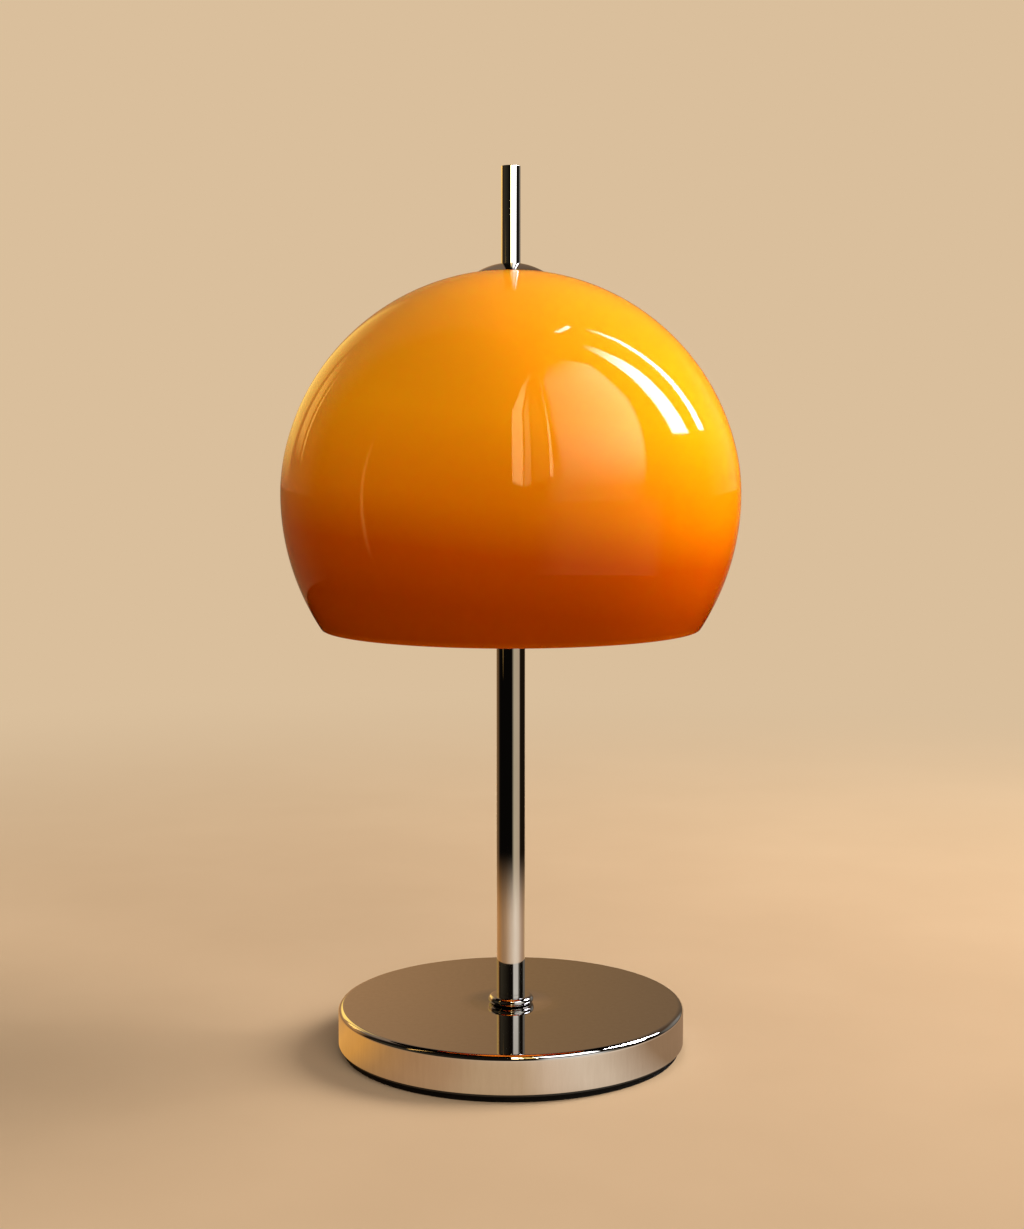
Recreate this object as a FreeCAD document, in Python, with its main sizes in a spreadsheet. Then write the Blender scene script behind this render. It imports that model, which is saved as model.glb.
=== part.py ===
import FreeCAD, Part
import Sketcher
import math
import os

# Mushroom table lamp: a round glossy shade on a chrome telescoping stem over a weighted disc base.
# Frame: +Z up, millimetres, origin on the table under the middle of the base.  The front looks
# along -Y and the cable outlet is at the back, +Y.  The head slides up the stem by stem_travel.

os.makedirs("parts", exist_ok=True)
document = FreeCAD.newDocument("MushroomTableLamp")
sheet = document.addObject("Spreadsheet::Sheet", "Size")

DRIVING_SIZES = [
    # base
    ("base_diameter", 196),
    ("base_height", 26),
    ("base_edge_radius", 3),
    ("cover_wall", 1.2),
    ("cover_lift", 4.9),
    ("pad_thickness", 3.4),
    ("pad_inset", 2.5),
    ("plate_thickness", 2),
    ("weight_web", 8),
    ("pocket_inset", 20),
    ("pocket_radius", 9),
    ("pocket_wall", 9),
    ("pocket_count", 12),
    ("pocket_roof", 6),
    ("plate_screw_radius", 2),
    ("plate_screw_length", 12),
    ("screw_head_radius", 3.8),
    ("screw_head_height", 2.2),
    # cable way
    ("outlet_height", 12.5),
    ("outlet_radius", 4.5),
    ("grommet_flange", 2),
    ("cable_channel_width", 13),
    ("mains_cable_radius", 3),
    ("lead_cable_radius", 2),
    ("cable_floor_gap", 1.2),
    ("cable_loop_margin", 22),
    ("cable_rise_radius", 6),
    ("terminal_length", 22),
    ("terminal_width", 14),
    ("terminal_floor_gap", 0.5),
    # stem
    ("stem_diameter", 16),
    ("stem_wall", 1),
    ("stem_head_gap", 23),
    ("collar_diameter", 26.5),
    ("collar_height", 4.5),
    ("nipple_radius", 5),
    ("nipple_bore", 3.6),
    ("nipple_reach", 16),
    ("foot_plug_length", 18),
    ("nut_width", 14),
    ("nut_height", 3),
    ("washer_radius", 11),
    ("washer_thickness", 1.5),
    ("bush_length", 24),
    ("bush_flange", 1.5),
    ("bush_slit", 1.2),
    # sliding rod
    ("rod_diameter", 10.6),
    ("rod_wall", 1),
    ("handle_length", 52.4),
    ("rod_flat_depth", 0.5),
    ("rod_port_radius", 2.8),
    ("slider_length", 30),
    ("slider_floor_gap", 8.7),
    ("spring_height", 6),
    ("spring_opening", 40),
    # lamp cluster
    ("hub_drop", 18),
    ("hub_radius", 20),
    ("hub_wall", 2.5),
    ("hub_side_wall", 3.5),
    ("hub_below", 12),
    ("hub_above", 15.5),
    ("hub_neck_radius", 9.5),
    ("hub_neck_height", 9),
    ("arm_seat", 17),
    ("arm_rise", 35),
    ("arm_nipple_length", 12),
    ("arm_nipple_tail", 2),
    ("arm_lead_radius", 1.2),
    ("arm_lead_bend", 4),
    ("holder_radius", 14),
    ("holder_wall", 2),
    ("holder_cap_length", 17),
    ("holder_insert_length", 8),
    ("holder_contact_height", 2),
    ("holder_skirt_length", 24),
    ("holder_skirt_wall", 1.5),
    ("skirt_overlap", 5),
    ("lamp_cap_radius", 6.9),
    ("lamp_cap_length", 17.7),
    ("lamp_cap_wall", 0.5),
    ("lamp_glass_wall", 0.8),
    ("lamp_shoulder_angle", 40),
    ("lamp_globe_radius", 22.5),
    ("lamp_length", 77),
    ("grub_screw_radius", 2),
    ("grub_screw_length", 3.6),
    # shade and its fixing
    ("shade_diameter", 255),
    ("shade_equator", 315),
    ("shade_skirt_depth", 74.8),
    ("shade_lower_radius", 136.5),
    ("shade_shoulder_offset", 18.5),
    ("shade_crown_extra", 0.5),
    ("shade_wall", 3),
    ("shade_hole_radius", 9),
    ("cap_diameter", 36.8),
    ("cap_rise", 5),
    ("carrier_radius", 9),
    ("carrier_neck_radius", 7.8),
    ("carrier_flange_radius", 17),
    ("carrier_flange", 2),
    ("carrier_hub_length", 16),
    ("gasket_thickness", 1.2),
    ("cap_gasket_radius", 13),
    ("cap_boss_radius", 10.2),
    ("rod_plug_head", 1.2),
    ("rod_plug_length", 8),
    # fits
    ("running_gap", 0.08),
    ("seat_gap", 0.05),
    ("stop_gap", 0.3),
]
for row, (alias, size) in enumerate(DRIVING_SIZES, start=1):
    sheet.set(f"A{row}", alias)
    sheet.set(f"B{row}", str(size))
    sheet.setAlias(f"B{row}", alias)
document.recompute()

nodes = []


def number(formula):
    """Value of a formula over the sheet's cells."""
    value = sheet.evalExpression(formula)
    return float(getattr(value, "Value", value))


def new_body(name):
    return document.addObject("PartDesign::Body", name)


def keep(piece, name):
    """List a finished piece as the node of that name."""
    piece.Label = name
    nodes.append(piece)
    return piece


def new_sketch(body, role, offset="0"):
    """Sketch on one of the body's own origin planes, lifted off it by the offset."""
    sketch = body.newObject("Sketcher::SketchObject", "Outline")
    plane = [item for item in body.Origin.OriginFeatures if item.Role == role][0]
    sketch.AttachmentSupport = [(plane, "")]
    sketch.MapMode = "FlatFace"
    if offset != "0":
        sketch.setExpression("AttachmentOffset.Base.z", offset)
    return sketch


def pin(sketch, geometry, end, across, up):
    """Fix one end of a sketch line or arc at (across, up)."""
    for kind, formula, axis in (("DistanceX", across, -2), ("DistanceY", up, -1)):
        if formula == "0":
            sketch.addConstraint(Sketcher.Constraint("PointOnObject", geometry, end, axis))
            continue
        index = sketch.addConstraint(
            Sketcher.Constraint(kind, -1, 1, geometry, end, number(formula)))
        sketch.setExpression(f"Constraints[{index}]", formula)


def arc_between(start, end, radius):
    """Arc of less than half a turn; a positive radius has its centre left of the way from start."""
    way = end - start
    middle = (start + end) * 0.5
    height = math.sqrt(max(radius ** 2 - (way.Length / 2) ** 2, 0))
    left = FreeCAD.Vector(-way.y, way.x, 0).normalize()
    side = 1 if radius > 0 else -1
    centre = middle + left * (height * side)
    start_angle = math.atan2(start.y - centre.y, start.x - centre.x)
    end_angle = math.atan2(end.y - centre.y, end.x - centre.x)
    circle = Part.Circle(centre, FreeCAD.Vector(0, 0, 1), abs(radius))
    if radius > 0:
        return Part.ArcOfCircle(circle, start_angle, end_angle), 1, 2
    return Part.ArcOfCircle(circle, end_angle, start_angle), 2, 1


def draw_outline(sketch, corners):
    """Closed outline through the corners (across, up).  A corner with a third value starts an arc
    of that radius, and a minus sign before it turns the arc to the right."""
    places = [FreeCAD.Vector(number(corner[0]), number(corner[1]), 0) for corner in corners]
    ends = []
    for index, corner in enumerate(corners):
        start, end = places[index], places[(index + 1) % len(places)]
        if len(corner) == 3:
            edge, first, last = arc_between(start, end, number(corner[2]))
            geometry = sketch.addGeometry(edge, False)
            rule = sketch.addConstraint(
                Sketcher.Constraint("Radius", geometry, abs(number(corner[2]))))
            sketch.setExpression(f"Constraints[{rule}]", corner[2].lstrip("-"))
        else:
            geometry = sketch.addGeometry(Part.LineSegment(start, end), False)
            first, last = 1, 2
        ends.append((geometry, first, last))
    for index, (geometry, first, last) in enumerate(ends):
        before, _, before_last = ends[index - 1]
        sketch.addConstraint(
            Sketcher.Constraint("Coincident", before, before_last, geometry, first))
        pin(sketch, geometry, first, corners[index][0], corners[index][1])


def draw_circle(sketch, radius, across="0", up="0"):
    centre = FreeCAD.Vector(number(across), number(up), 0)
    circle = Part.Circle(centre, FreeCAD.Vector(0, 0, 1), number(radius))
    geometry = sketch.addGeometry(circle, False)
    pin(sketch, geometry, 3, across, up)
    rule = sketch.addConstraint(Sketcher.Constraint("Radius", geometry, number(radius)))
    sketch.setExpression(f"Constraints[{rule}]", radius)


def turn(body, corners, degrees="360"):
    """Revolve an outline of (radius, height) corners round the body's upright axis."""
    sketch = new_sketch(body, "XZ_Plane")
    draw_outline(sketch, corners)
    lathe = body.newObject("PartDesign::Revolution", "Turned")
    lathe.Profile = sketch
    lathe.ReferenceAxis = (sketch, ["V_Axis"])
    lathe.setExpression("Angle", degrees)
    document.recompute()
    return lathe


def turned(name, corners, degrees="360"):
    """A piece that is turned all over, such as a tube, washer or bush."""
    body = new_body(name)
    turn(body, corners, degrees)
    return keep(body, name)


def tube_corners(inner, outer, bottom, top):
    return [(inner, bottom), (outer, bottom), (outer, top), (inner, top)]


def pad(body, sketch, length):
    """Raise a sketch to a solid along its plane's normal."""
    raised = body.newObject("PartDesign::Pad", "Raised")
    raised.Profile = sketch
    raised.setExpression("Length", length)
    document.recompute()
    return raised


def cut(body, sketch, depth):
    """Cut the sketch to the depth on both sides of its plane, and make sure that it took metal."""
    before = body.Shape.Volume
    pocket = body.newObject("PartDesign::Pocket", "Cut")
    pocket.Profile = sketch
    pocket.SideType = "Symmetric"
    pocket.setExpression("Length", f"2 * ({depth})")
    document.recompute()
    if not body.Shape.Volume < before - 0.01:
        raise RuntimeError(f"a cut in {body.Name} takes nothing")
    return pocket


def repeat(body, feature, count):
    """Repeat a cut round the upright axis."""
    ring = body.newObject("PartDesign::PolarPattern", "Ring")
    ring.Originals = [feature]
    axis = [item for item in body.Origin.OriginFeatures if item.Role == "Z_Axis"][0]
    ring.Axis = (axis, [""])
    ring.Angle = 360
    ring.setExpression("Occurrences", count)
    body.Tip = ring
    document.recompute()
    return ring


def drill(body, radius, across, up, depth, role="XY_Plane", offset="0"):
    """Round hole on a plane of the body, to the depth on both sides of that plane."""
    sketch = new_sketch(body, role, offset)
    draw_circle(sketch, radius, across, up)
    return cut(body, sketch, depth)


def group(name, pieces):
    """Separate solids of one kind that share a node."""
    whole = document.addObject("Part::Compound", name)
    whole.Links = pieces
    return keep(whole, name)


# ---- heights and radii that several pieces share ------------------------------------------------
base_radius = "(Size.base_diameter / 2)"
cover_inside = f"({base_radius} - Size.cover_wall)"
cover_ceiling = "(Size.base_height - Size.cover_wall)"
inner_edge_radius = "(Size.base_edge_radius - Size.cover_wall)"
plate_bottom = "Size.pad_thickness"
plate_top = "(Size.pad_thickness + Size.plate_thickness)"
chamber_ceiling = f"({cover_ceiling} - Size.weight_web)"
pocket_circle = f"({base_radius} - Size.pocket_inset)"
chamber_radius = f"({pocket_circle} - Size.pocket_radius - Size.pocket_wall)"
nipple_clear = "(Size.nipple_radius + Size.seat_gap)"
nut_top = f"({chamber_ceiling} - Size.washer_thickness)"
nut_bottom = f"({nut_top} - Size.nut_height)"
stem_radius = "(Size.stem_diameter / 2)"
stem_bore = f"({stem_radius} - Size.stem_wall)"
rod_radius = "(Size.rod_diameter / 2)"
rod_bore = f"({rod_radius} - Size.rod_wall)"
rod_clear = f"({rod_radius} + Size.seat_gap)"
hub_height = "(Size.shade_equator - Size.hub_drop)"
hub_floor = f"({hub_height} - Size.hub_below)"
stem_top = f"({hub_floor} - Size.stem_head_gap)"
bush_bottom = f"({stem_top} - Size.bush_length)"
bush_top = f"({stem_top} + Size.bush_flange)"
plug_top = "(Size.base_height + Size.foot_plug_length)"
rod_bottom = f"({plug_top} + Size.slider_floor_gap)"
slider_top = f"({rod_bottom} + Size.slider_length)"
stem_travel = f"({bush_bottom} - Size.stop_gap - {slider_top})"
shade_radius = "(Size.shade_diameter / 2)"
shoulder_radius = f"({shade_radius} - Size.shade_shoulder_offset)"
crown_radius = f"({shade_radius} + Size.shade_crown_extra)"
crown_offset = f"({crown_radius} - {shoulder_radius})"
crown_drop = f"sqrt({crown_offset}^2 - Size.shade_shoulder_offset^2)"
crown_centre = f"(Size.shade_equator - {crown_drop})"


def crown_height(across, skin="0"):
    """Height of the crown at a distance from the axis, on a skin outside (+) or inside it (-)."""
    return f"({crown_centre} + sqrt(({crown_radius} + {skin})^2 - ({across})^2))"


cap_radius = "(Size.cap_diameter / 2)"
cap_skin = "2 * Size.seat_gap"
cap_edge = crown_height(cap_radius, cap_skin)
cap_top = f"({cap_edge} + Size.cap_rise)"
rod_top = f"({cap_top} + Size.handle_length)"

# ---- foot pad: black felt disc glued under the base plate, cut out for the screw heads ----------
pad_radius = f"({base_radius} - Size.pad_inset)"
pad_edge = "(Size.pad_thickness / 5)"
screw_across = f"{pocket_circle} * cos(45)"
foot_pad = new_body("foot_pad")
turn(foot_pad, [
    ("0", "0"),
    (f"{pad_radius} - {pad_edge}", "0"),
    (pad_radius, pad_edge),
    (pad_radius, "Size.pad_thickness"),
    ("0", "Size.pad_thickness"),
])
head_hole = drill(foot_pad, "Size.screw_head_radius + 8 * Size.seat_gap", screw_across, screw_across,
                  "2 * Size.pad_thickness")
repeat(foot_pad, head_hole, "4")
keep(foot_pad, "foot_pad")

# ---- base plate: steel disc that closes the base from below -------------------------------------
plate_radius = f"({cover_inside} - 6 * Size.seat_gap)"
screw_clear = "(Size.plate_screw_radius + Size.seat_gap)"
base_plate = new_body("base_plate")
turn(base_plate, [
    ("0", plate_bottom),
    (plate_radius, plate_bottom),
    (plate_radius, plate_top),
    ("0", plate_top),
])
plate_hole = drill(base_plate, screw_clear, screw_across, screw_across, "2 * Size.plate_thickness",
                   offset=plate_bottom)
repeat(base_plate, plate_hole, "4")
keep(base_plate, "base_plate")

# ---- base screws: four pan-head screws that hold the plate to the weight ------------------------
base_screws = []
for quarter in range(4):
    screw = new_body(f"base_screw_{quarter + 1}")
    turn(screw, [
        ("0", f"{plate_bottom} - Size.screw_head_height"),
        ("Size.screw_head_radius - Size.screw_head_height / 3",
         f"{plate_bottom} - Size.screw_head_height"),
        ("Size.screw_head_radius", f"{plate_bottom} - Size.screw_head_height * 2 / 3"),
        ("Size.screw_head_radius", plate_bottom),
        ("Size.plate_screw_radius", plate_bottom),
        ("Size.plate_screw_radius", f"{plate_bottom} + Size.plate_screw_length"),
        ("0", f"{plate_bottom} + Size.plate_screw_length"),
    ])
    angle = 45 + 90 * quarter
    screw.setExpression("Placement.Base.x", f"{pocket_circle} * cos({angle})")
    screw.setExpression("Placement.Base.y", f"{pocket_circle} * sin({angle})")
    base_screws.append(screw)
group("base_screws", base_screws)

# ---- base weight: grey iron casting, cored from below, with a round chamber for the wiring ------
weight_radius = f"({cover_inside} - 8 * Size.seat_gap)"
weight_edge = f"({inner_edge_radius} + 8 * Size.seat_gap)"
base_weight = new_body("base_weight")
turn(base_weight, [
    (nipple_clear, chamber_ceiling),
    (chamber_radius, chamber_ceiling),
    (chamber_radius, plate_top),
    (weight_radius, plate_top),
    (weight_radius, f"{cover_ceiling} - {weight_edge}"),
    (f"{weight_radius} - {weight_edge}", cover_ceiling),
    (nipple_clear, cover_ceiling),
])
core = drill(base_weight, "Size.pocket_radius", pocket_circle, "0",
             f"{cover_ceiling} - Size.pocket_roof - {plate_top}", offset=plate_top)
repeat(base_weight, core, "Size.pocket_count")
tapped_hole = drill(base_weight, screw_clear, screw_across, screw_across,
                    "Size.plate_screw_length", offset=plate_top)
repeat(base_weight, tapped_hole, "4")
half_channel = "(Size.cable_channel_width / 2)"
channel = new_sketch(base_weight, "XY_Plane", plate_top)
draw_outline(channel, [
    (f"-{half_channel}", f"{chamber_radius} - Size.weight_web"),
    (half_channel, f"{chamber_radius} - Size.weight_web"),
    (half_channel, base_radius),
    (f"-{half_channel}", base_radius),
])
cut(base_weight, channel, f"Size.outlet_height + {half_channel} - {plate_top}")
keep(base_weight, "base_weight")

# ---- base cover: chromed steel pressing with a rolled top edge, open below ----------------------
base_cover = new_body("base_cover")
turn(base_cover, [
    (nipple_clear, cover_ceiling),
    (f"{cover_inside} - {inner_edge_radius}", cover_ceiling, f"-{inner_edge_radius}"),
    (cover_inside, f"{cover_ceiling} - {inner_edge_radius}"),
    (cover_inside, "Size.cover_lift"),
    (base_radius, "Size.cover_lift"),
    (base_radius, "Size.base_height - Size.base_edge_radius", "Size.base_edge_radius"),
    (f"{base_radius} - Size.base_edge_radius", "Size.base_height"),
    (nipple_clear, "Size.base_height"),
])
drill(base_cover, "Size.outlet_radius", "0", "Size.outlet_height", "3 * Size.cover_wall",
      role="XZ_Plane", offset=f"-{base_radius}")
keep(base_cover, "base_cover")

# ---- cable grommet: rubber bush in the cover's back wall, flanged on both sides of the wall ------
grommet_body = "(Size.outlet_radius - Size.seat_gap)"
grommet_inner_lip = "(1.3 * Size.outlet_radius)"
grommet_outer_lip = "(1.45 * Size.outlet_radius)"
cable_grommet = turned("cable_grommet", [
    ("Size.mains_cable_radius", "-2 * Size.cover_wall - Size.grommet_flange / 2"),
    (grommet_inner_lip, "-2 * Size.cover_wall - Size.grommet_flange / 2"),
    (grommet_inner_lip, "-Size.cover_wall - Size.stop_gap"),
    (grommet_body, "-Size.cover_wall - Size.stop_gap"),
    (grommet_body, "Size.seat_gap"),
    (grommet_outer_lip, "Size.seat_gap"),
    (grommet_outer_lip, "Size.grommet_flange / 2"),
    (f"{grommet_outer_lip} - Size.grommet_flange / 2", "Size.grommet_flange"),
    ("Size.mains_cable_radius", "Size.grommet_flange"),
])
cable_grommet.setExpression(
    "Placement",
    f"placement(vector(0; {base_radius}; Size.outlet_height); rotation(vector(1; 0; 0); -90))")

# ---- terminal block: moulded block under the weight's web, where the supply is joined -----------
cable_height = f"({plate_top} + Size.cable_floor_gap + Size.lead_cable_radius)"
loop_radius = f"({chamber_radius} - Size.cable_loop_margin)"
terminal_row = f"(Size.cable_rise_radius + {loop_radius})"
block_bottom = f"({plate_top} + Size.terminal_floor_gap)"
terminal_block = new_body("terminal_block")
block_outline = new_sketch(terminal_block, "XY_Plane", block_bottom)
draw_outline(block_outline, [
    ("-Size.terminal_length", f"{terminal_row} - Size.terminal_width / 2"),
    ("0", f"{terminal_row} - Size.terminal_width / 2"),
    ("0", f"{terminal_row} + Size.terminal_width / 2"),
    ("-Size.terminal_length", f"{terminal_row} + Size.terminal_width / 2"),
])
pad(terminal_block, block_outline, f"{chamber_ceiling} - {block_bottom}")
drill(terminal_block, "Size.lead_cable_radius + Size.running_gap", terminal_row, cable_height,
      "Size.terminal_length / 3", role="YZ_Plane")
keep(terminal_block, "terminal_block")

# ---- stem: outer tube brazed on a threaded plug, pulled down on the base by nipple and nut -------
turned("stem_tube", tube_corners(stem_bore, stem_radius, "Size.base_height", stem_top))
plug_radius = f"({stem_bore} - Size.seat_gap)"
turned("stem_foot_plug", [
    (nipple_clear, "Size.base_height"),
    (plug_radius, "Size.base_height"),
    (plug_radius, f"{plug_top} - Size.stem_wall"),
    (f"{plug_radius} - Size.stem_wall", plug_top),
    (nipple_clear, plug_top),
])
turned("base_nipple", tube_corners("Size.nipple_bore", "Size.nipple_radius",
                                   f"{nut_bottom} - Size.stop_gap",
                                   "Size.base_height + Size.nipple_reach"))
turned("nipple_washer", tube_corners(nipple_clear, "Size.washer_radius", nut_top, chamber_ceiling))
nipple_nut = new_body("nipple_nut")
nut_outline = new_sketch(nipple_nut, "XY_Plane", nut_bottom)
draw_outline(nut_outline, [
    (f"Size.nut_width / sqrt(3) * cos({60 * corner + 30})",
     f"Size.nut_width / sqrt(3) * sin({60 * corner + 30})") for corner in range(6)])
pad(nipple_nut, nut_outline, "Size.nut_height")
drill(nipple_nut, nipple_clear, "0", "0", "2 * Size.nut_height", offset=nut_bottom)
keep(nipple_nut, "nipple_nut")

# ---- collar ring: chromed bead that hides the joint between stem and base ------------------------
collar_bulge = "(0.51 * Size.collar_height)"
collar_side = f"(Size.collar_diameter / 2 - {collar_bulge})"
turned("collar_ring", [
    (f"{stem_radius} + Size.seat_gap", "Size.base_height"),
    (collar_side, "Size.base_height", collar_bulge),
    (collar_side, "Size.base_height + Size.collar_height"),
    (f"{stem_radius} + Size.seat_gap", "Size.base_height + Size.collar_height"),
])

# ---- stem bush: nylon bush in the top of the tube, slit to grip the rod and keyed to its flat ----
flat_height = f"({rod_radius} - Size.rod_flat_depth)"
key_face = f"({flat_height} + Size.running_gap)"
key_radius = f"(({rod_clear} + {stem_bore}) / 2)"
key_half_width = f"sqrt({key_radius}^2 - {key_face}^2)"
stem_bush = new_body("stem_bush")
turn(stem_bush, [
    (rod_clear, bush_bottom),
    (f"{stem_bore} - Size.seat_gap", bush_bottom),
    (f"{stem_bore} - Size.seat_gap", stem_top),
    (stem_radius, stem_top),
    (stem_radius, bush_top),
    (rod_clear, bush_top),
])
key = new_sketch(stem_bush, "XY_Plane", bush_bottom)
draw_outline(key, [(f"-{key_half_width}", key_face), (key_half_width, key_face, key_radius)])
pad(stem_bush, key, "Size.bush_length + Size.bush_flange")
slit = new_sketch(stem_bush, "XY_Plane", bush_bottom)
draw_outline(slit, [
    ("-Size.bush_slit / 2", f"-{stem_radius}"),
    ("Size.bush_slit / 2", f"-{stem_radius}"),
    ("Size.bush_slit / 2", f"-{rod_bore}"),
    ("-Size.bush_slit / 2", f"-{rod_bore}"),
])
cut(stem_bush, slit, "Size.bush_length * 5 / 6")
keep(stem_bush, "stem_bush")

# ---- sliding rod: one chromed tube from the slider to the handle above the shade ----------------
# The flat on its back runs through the keyed bush.  The flat's upper end comes down on the bush
# when the lamp is low, and the slider meets the bush from below when it is high.
flat_top = f"({bush_top} + Size.stop_gap)"
plug_seat = f"({rod_top} - Size.rod_plug_head)"
arm_cosine = "cos(Size.arm_rise)"
arm_sine = "sin(Size.arm_rise)"
port_height = f"({hub_height} + {rod_radius} * {arm_sine} / {arm_cosine})"
sliding_rod = new_body("sliding_rod")
turn(sliding_rod, tube_corners(rod_bore, rod_radius, rod_bottom, plug_seat))
flat = new_sketch(sliding_rod, "YZ_Plane")
draw_outline(flat, [
    (flat_height, slider_top),
    (f"2 * {rod_radius}", slider_top),
    (f"2 * {rod_radius}", flat_top),
    (flat_height, flat_top),
])
cut(sliding_rod, flat, "Size.rod_diameter")
drill(sliding_rod, "Size.rod_port_radius", "0", port_height, "Size.rod_diameter", role="YZ_Plane")
keep(sliding_rod, "sliding_rod")
turned("rod_plug", [
    ("0", f"{rod_top} - Size.rod_plug_length"),
    (f"{rod_bore} - Size.seat_gap", f"{rod_top} - Size.rod_plug_length"),
    (f"{rod_bore} - Size.seat_gap", plug_seat),
    (rod_radius, plug_seat),
    (rod_radius, f"{rod_top} - Size.rod_plug_head / 4"),
    (f"{rod_radius} - Size.rod_plug_head / 4", rod_top),
    ("0", rod_top),
])

# ---- slider: nylon sleeve on the foot of the rod, with a split spring that drags in the tube -----
slider_radius = f"({stem_bore} - Size.running_gap)"
groove_radius = f"(({rod_clear} + {slider_radius}) / 2)"
groove_bottom = f"({rod_bottom} + (Size.slider_length - Size.spring_height) / 2)"
groove_top = f"({groove_bottom} + Size.spring_height)"
turned("slider", [
    (rod_clear, rod_bottom),
    (slider_radius, rod_bottom),
    (slider_radius, groove_bottom),
    (groove_radius, groove_bottom),
    (groove_radius, groove_top),
    (slider_radius, groove_top),
    (slider_radius, slider_top),
    (rod_clear, slider_top),
])
turned("slider_spring", tube_corners(f"{groove_radius} + Size.seat_gap",
                                     f"{stem_bore} - Size.seat_gap",
                                     f"{groove_bottom} + Size.seat_gap",
                                     f"{groove_top} - Size.seat_gap"),
       "360 - Size.spring_opening")

# ---- cluster hub: zinc casting on the rod with a flat, tapped seat for each arm ------------------
hub_roof = f"({hub_height} + Size.hub_above)"
hub_ceiling = f"({hub_roof} - Size.hub_wall)"
hub_inside = "(Size.hub_radius - Size.hub_side_wall)"
seat_inside = "(Size.arm_seat - Size.hub_wall)"
cone_low = f"({hub_height} + ({seat_inside} - {hub_inside} * {arm_cosine}) / {arm_sine})"
cone_high = f"(({seat_inside} - ({hub_ceiling} - {hub_height}) * {arm_sine}) / {arm_cosine})"
neck_top = f"({hub_roof} + Size.hub_neck_height)"
hub_screw_height = f"({hub_roof} + Size.hub_neck_height / 2)"


def arm_plane(body, side, along):
    """Sketch square to an arm, at a distance along it from the hub's centre."""
    sketch = new_sketch(body, "XY_Plane")
    across = f"{side} * ({along}) * {arm_cosine}"
    up = f"{hub_height} + ({along}) * {arm_sine}"
    tilt = f"rotation(vector(0; 1; 0); {side} * (90 - Size.arm_rise))"
    sketch.setExpression("AttachmentOffset", f"placement(vector({across}; 0; {up}); {tilt})")
    return sketch


cluster_hub = new_body("cluster_hub")
turn(cluster_hub, [
    (hub_inside, hub_floor),
    ("Size.hub_radius", hub_floor),
    ("Size.hub_radius", hub_roof),
    ("Size.hub_neck_radius", hub_roof),
    ("Size.hub_neck_radius", neck_top),
    (rod_clear, neck_top),
    (rod_clear, hub_ceiling),
    (cone_high, hub_ceiling),
    (hub_inside, cone_low),
])
for side in (1, -1):
    facing = arm_plane(cluster_hub, side, "Size.arm_seat + Size.hub_radius")
    draw_circle(facing, "2 * Size.hub_radius")
    cut(cluster_hub, facing, "Size.hub_radius")
    tapping = arm_plane(cluster_hub, side, "Size.arm_seat")
    draw_circle(tapping, nipple_clear)
    cut(cluster_hub, tapping, "2 * Size.hub_wall")
drill(cluster_hub, "Size.grub_screw_radius + Size.seat_gap", "0", hub_screw_height,
      "2 * Size.hub_neck_radius", role="XZ_Plane")
keep(cluster_hub, "cluster_hub")
turned("cluster_lid", tube_corners(rod_clear, f"{hub_inside} - Size.seat_gap", hub_floor,
                                   f"{hub_floor} + Size.hub_wall * 4 / 5"))

# ---- arms: everything below is turned about its own arm, and made once for each side ------------
# Heights in these outlines run along the arm from the hub's centre.
seat = "Size.arm_seat"


def arm_pair(name, corners):
    pieces = []
    for side, word in ((1, "right"), (-1, "left")):
        piece = new_body(f"{name}_{word}")
        turn(piece, corners)
        tilt = f"rotation(vector(0; 1; 0); {side} * (90 - Size.arm_rise))"
        piece.setExpression("Placement", f"placement(vector(0; 0; {hub_height}); {tilt})")
        pieces.append(piece)
    return group(name, pieces)


arm_nipple_start = f"({seat_inside} - Size.arm_nipple_tail)"
arm_nipple_end = f"({arm_nipple_start} + Size.arm_nipple_length)"
arm_pair("arm_nipples", tube_corners("Size.nipple_bore", "Size.nipple_radius",
                                     arm_nipple_start, arm_nipple_end))

holder_shoulder = "(Size.holder_radius - Size.holder_skirt_wall)"
holder_inside = f"({holder_shoulder} - Size.holder_wall)"
holder_deck = f"({arm_nipple_end} + Size.stop_gap)"
holder_cap_end = f"({seat} + Size.holder_cap_length)"
arm_pair("holder_caps", [
    (nipple_clear, seat),
    ("0.6 * Size.holder_radius", seat),
    ("0.6 * Size.holder_radius", f"{seat} + Size.holder_wall"),
    (holder_shoulder, f"{seat} + Size.holder_cap_length / 2"),
    (holder_shoulder, holder_cap_end),
    (holder_inside, holder_cap_end),
    (holder_inside, holder_deck),
    (nipple_clear, holder_deck),
])

insert_end = f"({holder_deck} + Size.holder_insert_length)"
contact_end = f"({insert_end} + Size.holder_contact_height)"
arm_pair("holder_inserts", [
    ("0", holder_deck),
    (f"{holder_inside} - Size.seat_gap", holder_deck),
    (f"{holder_inside} - Size.seat_gap", insert_end),
    ("Size.lamp_cap_radius / 2", insert_end),
    ("Size.lamp_cap_radius / 2", contact_end),
    ("0", contact_end),
])

skirt_start = f"({holder_cap_end} - Size.skirt_overlap)"
skirt_end = f"({skirt_start} + Size.holder_skirt_length)"
thread_radius = "(Size.lamp_cap_radius + 5 * Size.seat_gap)"
arm_pair("holder_skirts", [
    (f"{holder_shoulder} + Size.seat_gap", skirt_start),
    ("Size.holder_radius", skirt_start),
    ("Size.holder_radius", skirt_end),
    (thread_radius, skirt_end),
    (thread_radius, f"{contact_end} + Size.seat_gap"),
    (f"{holder_inside} - Size.seat_gap", f"{contact_end} + Size.seat_gap"),
    (f"{holder_inside} - Size.seat_gap", f"{holder_cap_end} + Size.seat_gap"),
    (f"{holder_shoulder} + Size.seat_gap", f"{holder_cap_end} + Size.seat_gap"),
])

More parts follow.
